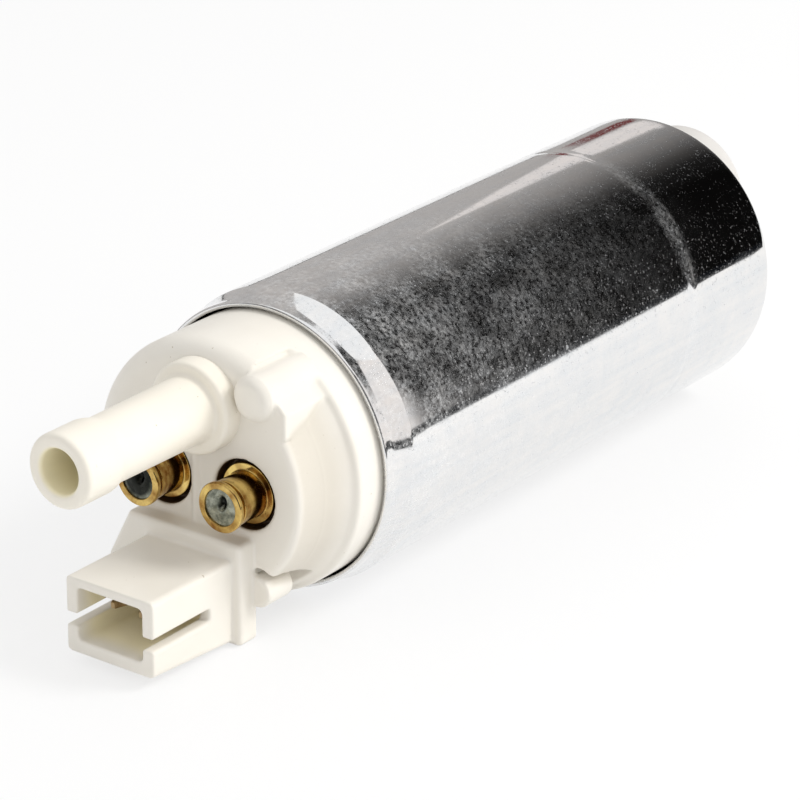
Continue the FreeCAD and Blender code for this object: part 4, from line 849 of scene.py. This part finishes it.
# Flare: the solid's side is a row of straight lines, seen as (distance, radius). Points near it
# move in to a quadratic curve between its ends. Nose: points move back by the square of their
# distance from the nose's axis, and those of its bore out to the bore's radius. Masks: painted
# shade on the flare and on the moats between two radii round each holder, and painted bounce
# light on the inside of the hood.
def shapeCap(mesh, v, cups):
    place = coordinates(mesh)
    side = np.array(v["side"])
    t = np.linspace(0, 1, v["curvePoints"])[:, None]
    curve = (1 - t) ** 2 * side[0] + 2 * t * (1 - t) * np.array(v["bend"]) + t ** 2 * side[-1]
    radius = np.maximum(np.hypot(place[:, 0], place[:, 2]), 1e-6)   # never 0, because it divides
    solid = np.interp(place[:, 1], side[:, 0], side[:, 1])
    target = np.minimum(np.interp(place[:, 1], curve[:, 0], curve[:, 1]), solid)
    onSide = ((place[:, 1] > side[0, 0] - v["sideMargin"])
              * (place[:, 1] < side[-1, 0] + v["sideMargin"]))
    onSide = onSide * (1 - smoothStep(np.abs(radius - solid), v["fullReach"], v["reach"]))
    place[:, (0, 2)] *= (1 - onSide * (solid - target) / radius)[:, None]
    fromAxis = np.hypot(place[:, 0] - v["nose"][0], place[:, 2] - v["nose"][1])
    near = fromAxis < v["noseRadius"] + v["noseMargin"]
    ahead = smoothStep(-place[:, 1], *v["noseFade"])
    place[:, 1] += v["noseRound"] * near * ahead * (fromAxis / v["noseRadius"]) ** 2
    inBore = (fromAxis > v["boreInner"]) * (fromAxis < v["boreRadius"])
    inBore = inBore * (place[:, 1] > v["boreEnds"][0]) * (place[:, 1] < v["boreEnds"][1])
    widen = np.where(inBore, v["boreRadius"] / np.maximum(fromAxis, v["boreInner"]), 1.0)
    for axis, middle in ((0, v["nose"][0]), (2, v["nose"][1])):
        place[:, axis] = middle + (place[:, axis] - middle) * widen
    mesh.vertices.foreach_set("co", ((place - (0, halfLength, 0)) * mm).ravel())
    mesh.update()
    # painted shade: near-black rings round each brush holder, for the shade in the deep pockets
    moatShade = np.zeros(len(place))
    for sign in (1, -1):
        fromCup = np.hypot(place[:, 0] - sign * cups["side"], place[:, 2] - cups["height"])
        ring = smoothStep(fromCup, *v["moatRise"]) * (1 - smoothStep(fromCup, *v["moatFall"]))
        moatShade = np.maximum(moatShade, ring * smoothStep(place[:, 1], *v["moatFade"]))
    storeMask(mesh, "moatShade", moatShade)
    # painted shade on the flare between crown and rim, fading in from the crown and out towards
    # the rim
    fade = smoothStep(place[:, 1], *v["fadeIn"]) * (1 - smoothStep(place[:, 1], *v["fadeOut"]))
    storeMask(mesh, "flareShade", onSide * fade * v["flareShadeShare"])
    # painted bounce light: a warm, bright tint inside the hood that grows from its mouth inwards
    inHood = ((place > v["hoodLow"]) & (place < v["hoodHigh"])).all(1)
    mouth = v["hoodLow"][1]
    storeMask(mesh, "hoodBounceLight", inHood * smoothStep(place[:, 1], mouth, mouth + v["hoodFade"]))


# A copy of the solid, rebuilt on an even grid of cells and smoothed a little, which rounds its
# edges.
def softCopy(node, v, soft):
    mesh = frame["nodes"][node].data.copy()
    shape = bmesh.new()
    shape.from_mesh(mesh)
    bmesh.ops.remove_doubles(shape, verts=shape.verts, dist=weldValues["solid"])
    for place, normal in ((v["keepFrom"], (0, -1, 0)), (v["keepTo"], (0, 1, 0))):
        cutPlane = bmesh.ops.bisect_plane(
            shape, geom=shape.verts[:] + shape.edges[:] + shape.faces[:],
            plane_co=(0, (place - halfLength) * mm, 0), plane_no=normal, clear_outer=True)
        edges = [item for item in cutPlane["geom_cut"] if isinstance(item, bmesh.types.BMEdge)]
        if edges:
            bmesh.ops.triangle_fill(shape, edges=edges, use_beauty=True)
    print("stage:", v["name"], sum(edge.is_boundary for edge in shape.edges), "open edges")
    shape.to_mesh(mesh)
    shape.free()
    rough = bpy.data.objects.new("rough", mesh)
    bpy.context.scene.collection.objects.link(rough)
    rebuild = rough.modifiers.new("rebuild", "REMESH")
    rebuild.mode = "VOXEL"
    rebuild.voxel_size = v["grain"] * mm
    smooth = rough.modifiers.new("smooth", "SMOOTH")
    smooth.factor = soft["factor"]
    smooth.iterations = soft["passes"]
    fewer = rough.modifiers.new("fewer", "DECIMATE")
    fewer.ratio = v["kept"]
    finished = bpy.data.meshes.new_from_object(
        rough.evaluated_get(bpy.context.evaluated_depsgraph_get()))
    bpy.data.objects.remove(rough)
    finished.materials.clear()
    finished.polygons.foreach_set("use_smooth", np.ones(len(finished.polygons), bool))
    if node == "outlet_cap":
        shapeCap(finished, capFormValues, cupValues)
    print("stage:", v["name"], len(finished.polygons), "faces")
    return finished


# Springs and brush leads. Each is as long as its solid.
coilValues = {"pointsPerTurn": 28, "closeEnds": 0.7, "segments": 10}
springValues = {
    "check_spring": {"name": "checkCoil", "turns": 4, "wire": 0.17, "joint": "check_valve_slide",
                     "travel": 2.2},
    "relief_spring": {"name": "reliefCoil", "turns": 8, "wire": 0.22,
                      "joint": "relief_valve_slide", "travel": 1.2},
    "brush_spring_right": {"name": "brushCoil_right", "turns": 20, "wire": 0.21,
                           "joint": "brush_right_slide", "travel": 2.5},
    "brush_spring_left": {"name": "brushCoil_left", "turns": 20, "wire": 0.21,
                          "joint": "brush_left_slide", "travel": 2.5},
}
leadValues = {"strands": 3, "twist": 2.6, "depth": 0.16, "rows": 220, "segments": 30}


# A node's middle across the barrel, its half width, and its two ends along the barrel.
def nodeSpan(node):
    low, high = (np.array(corner) / mm + (0, halfLength, 0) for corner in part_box(node))
    return (low[0] + high[0]) / 2, (low[2] + high[2]) / 2, (high[0] - low[0]) / 2, low[1], high[1]


# Wire round a helix of a number of turns. Its rise is slower near both ends, by a share of a
# sine, so that the end turns lie closer. A ring of the wire is its middle plus the wire's radius
# times (cos a outward + sin a across).
def coilMesh(name, span, v, coil):
    x, z, outer, low, high = span
    turns, wire = v["turns"], v["wire"]
    t = np.linspace(0, 1, turns * coil["pointsPerTurn"] + 1)
    angle = 2 * math.pi * turns * t
    outward = np.stack([np.cos(angle), np.zeros_like(t), np.sin(angle)], -1)
    eased = t - coil["closeEnds"] * np.sin(2 * math.pi * t) / (2 * math.pi)
    rise = low + wire + (high - low - 2 * wire) * eased
    path = outward * (outer - wire) + np.stack([np.full_like(t, x), rise, np.full_like(t, z)], -1)
    along = np.gradient(path, axis=0)
    across = np.cross(along / np.linalg.norm(along, axis=1)[:, None], outward)
    around = np.linspace(0, 2 * math.pi, coil["segments"], endpoint=False)[None, :, None]
    rings = path[:, None] + wire * (np.cos(around) * outward[:, None]
                                    + np.sin(around) * across[:, None])
    ends = np.repeat(path[[0, -1], None], coil["segments"], 1)
    rings = np.concatenate([ends[:1], rings, ends[1:]])
    return tubeMesh(name, (rings - (0, halfLength, 0)) * mm)


# Twisted strands: the radius is full where the sine of (strands times the turn plus twist times
# the distance) is 1 or -1, and falls by the share depth where it is 0.
def leadMesh(name, span, v):
    x, z, outer, low, high = span
    turn = np.linspace(0, 2 * math.pi, v["segments"], endpoint=False)
    y, turn = np.meshgrid(np.linspace(low, high, v["rows"]), turn, indexing="ij")
    wave = np.abs(np.sin(v["strands"] * turn + v["twist"] * y))
    radius = outer * (1 - v["depth"] + v["depth"] * wave)
    rings = np.stack([x + radius * np.cos(turn), y, z + radius * np.sin(turn)], -1)
    ends = np.repeat(np.array([[x, low, z], [x, high, z]])[:, None], v["segments"], 1)
    rings = np.concatenate([ends[:1], rings, ends[1:]])
    return tubeMesh(name, (rings - (0, halfLength, 0)) * mm)


# Gives the piece a mesh of its own.
def shortened(piece):
    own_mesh(piece)


def makeSprings(springs, coil, leads):
    for node, v in springs.items():
        span = nodeSpan(node)
        spring = addPiece(v["name"], coilMesh(v["name"], span, v, coil), "springSteel", "case",
                          node)
        shortened(spring)
    for side in ("right", "left"):
        span = nodeSpan(f"brush_lead_{side}")
        name = f"brushLead_{side}"
        lead = addPiece(name, leadMesh(name, span, leads), "drawnCopper", "case",
                        f"brush_lead_{side}")
        shortened(lead)


makeShell(shellValues)
makeTube(tubeValues)
makeSprings(springValues, coilValues, leadValues)
makeCups(cupValues, solderValues)
for nodeName, mouldSet in mouldValues.items():
    addPiece(mouldSet["name"], softCopy(nodeName, mouldSet, smoothValues), mouldSet["finish"],
             "case", nodeName)
print("stage: outer pieces")

# The pieces that stay as solids take their finish by slot.
slotFinishes = {
    "shell_steel": "shellSteel", "cap_plastic": "capPlastic", "tube_plastic": "tubePlastic",
    "cover_plastic": "coverPlastic", "brass": "cupBrass", "terminal_brass": "bladeBrass",
    "solder": "solderTin", "carbon": "carbonBlock", "spring_steel": "springSteel",
    "ball_steel": "groundSteel", "bronze": "sinteredBronze", "copper": "drawnCopper",
    "insulating_plastic": "darkMoulding", "core_steel": "coreSteel", "magnet": "ferrite",
    "pump_casting": "castAluminium", "impeller_plastic": "phenolic",
    "valve_plastic": "valvePlastic", "seal_rubber": "sealRubber",
}
for part in frame["record"]["subparts"]:
    finish = finishes[slotFinishes[part["material_slot"]]]
    for place in frame["nodes"][part["node"]].material_slots:
        place.material = finish
print("stage: solids finished")
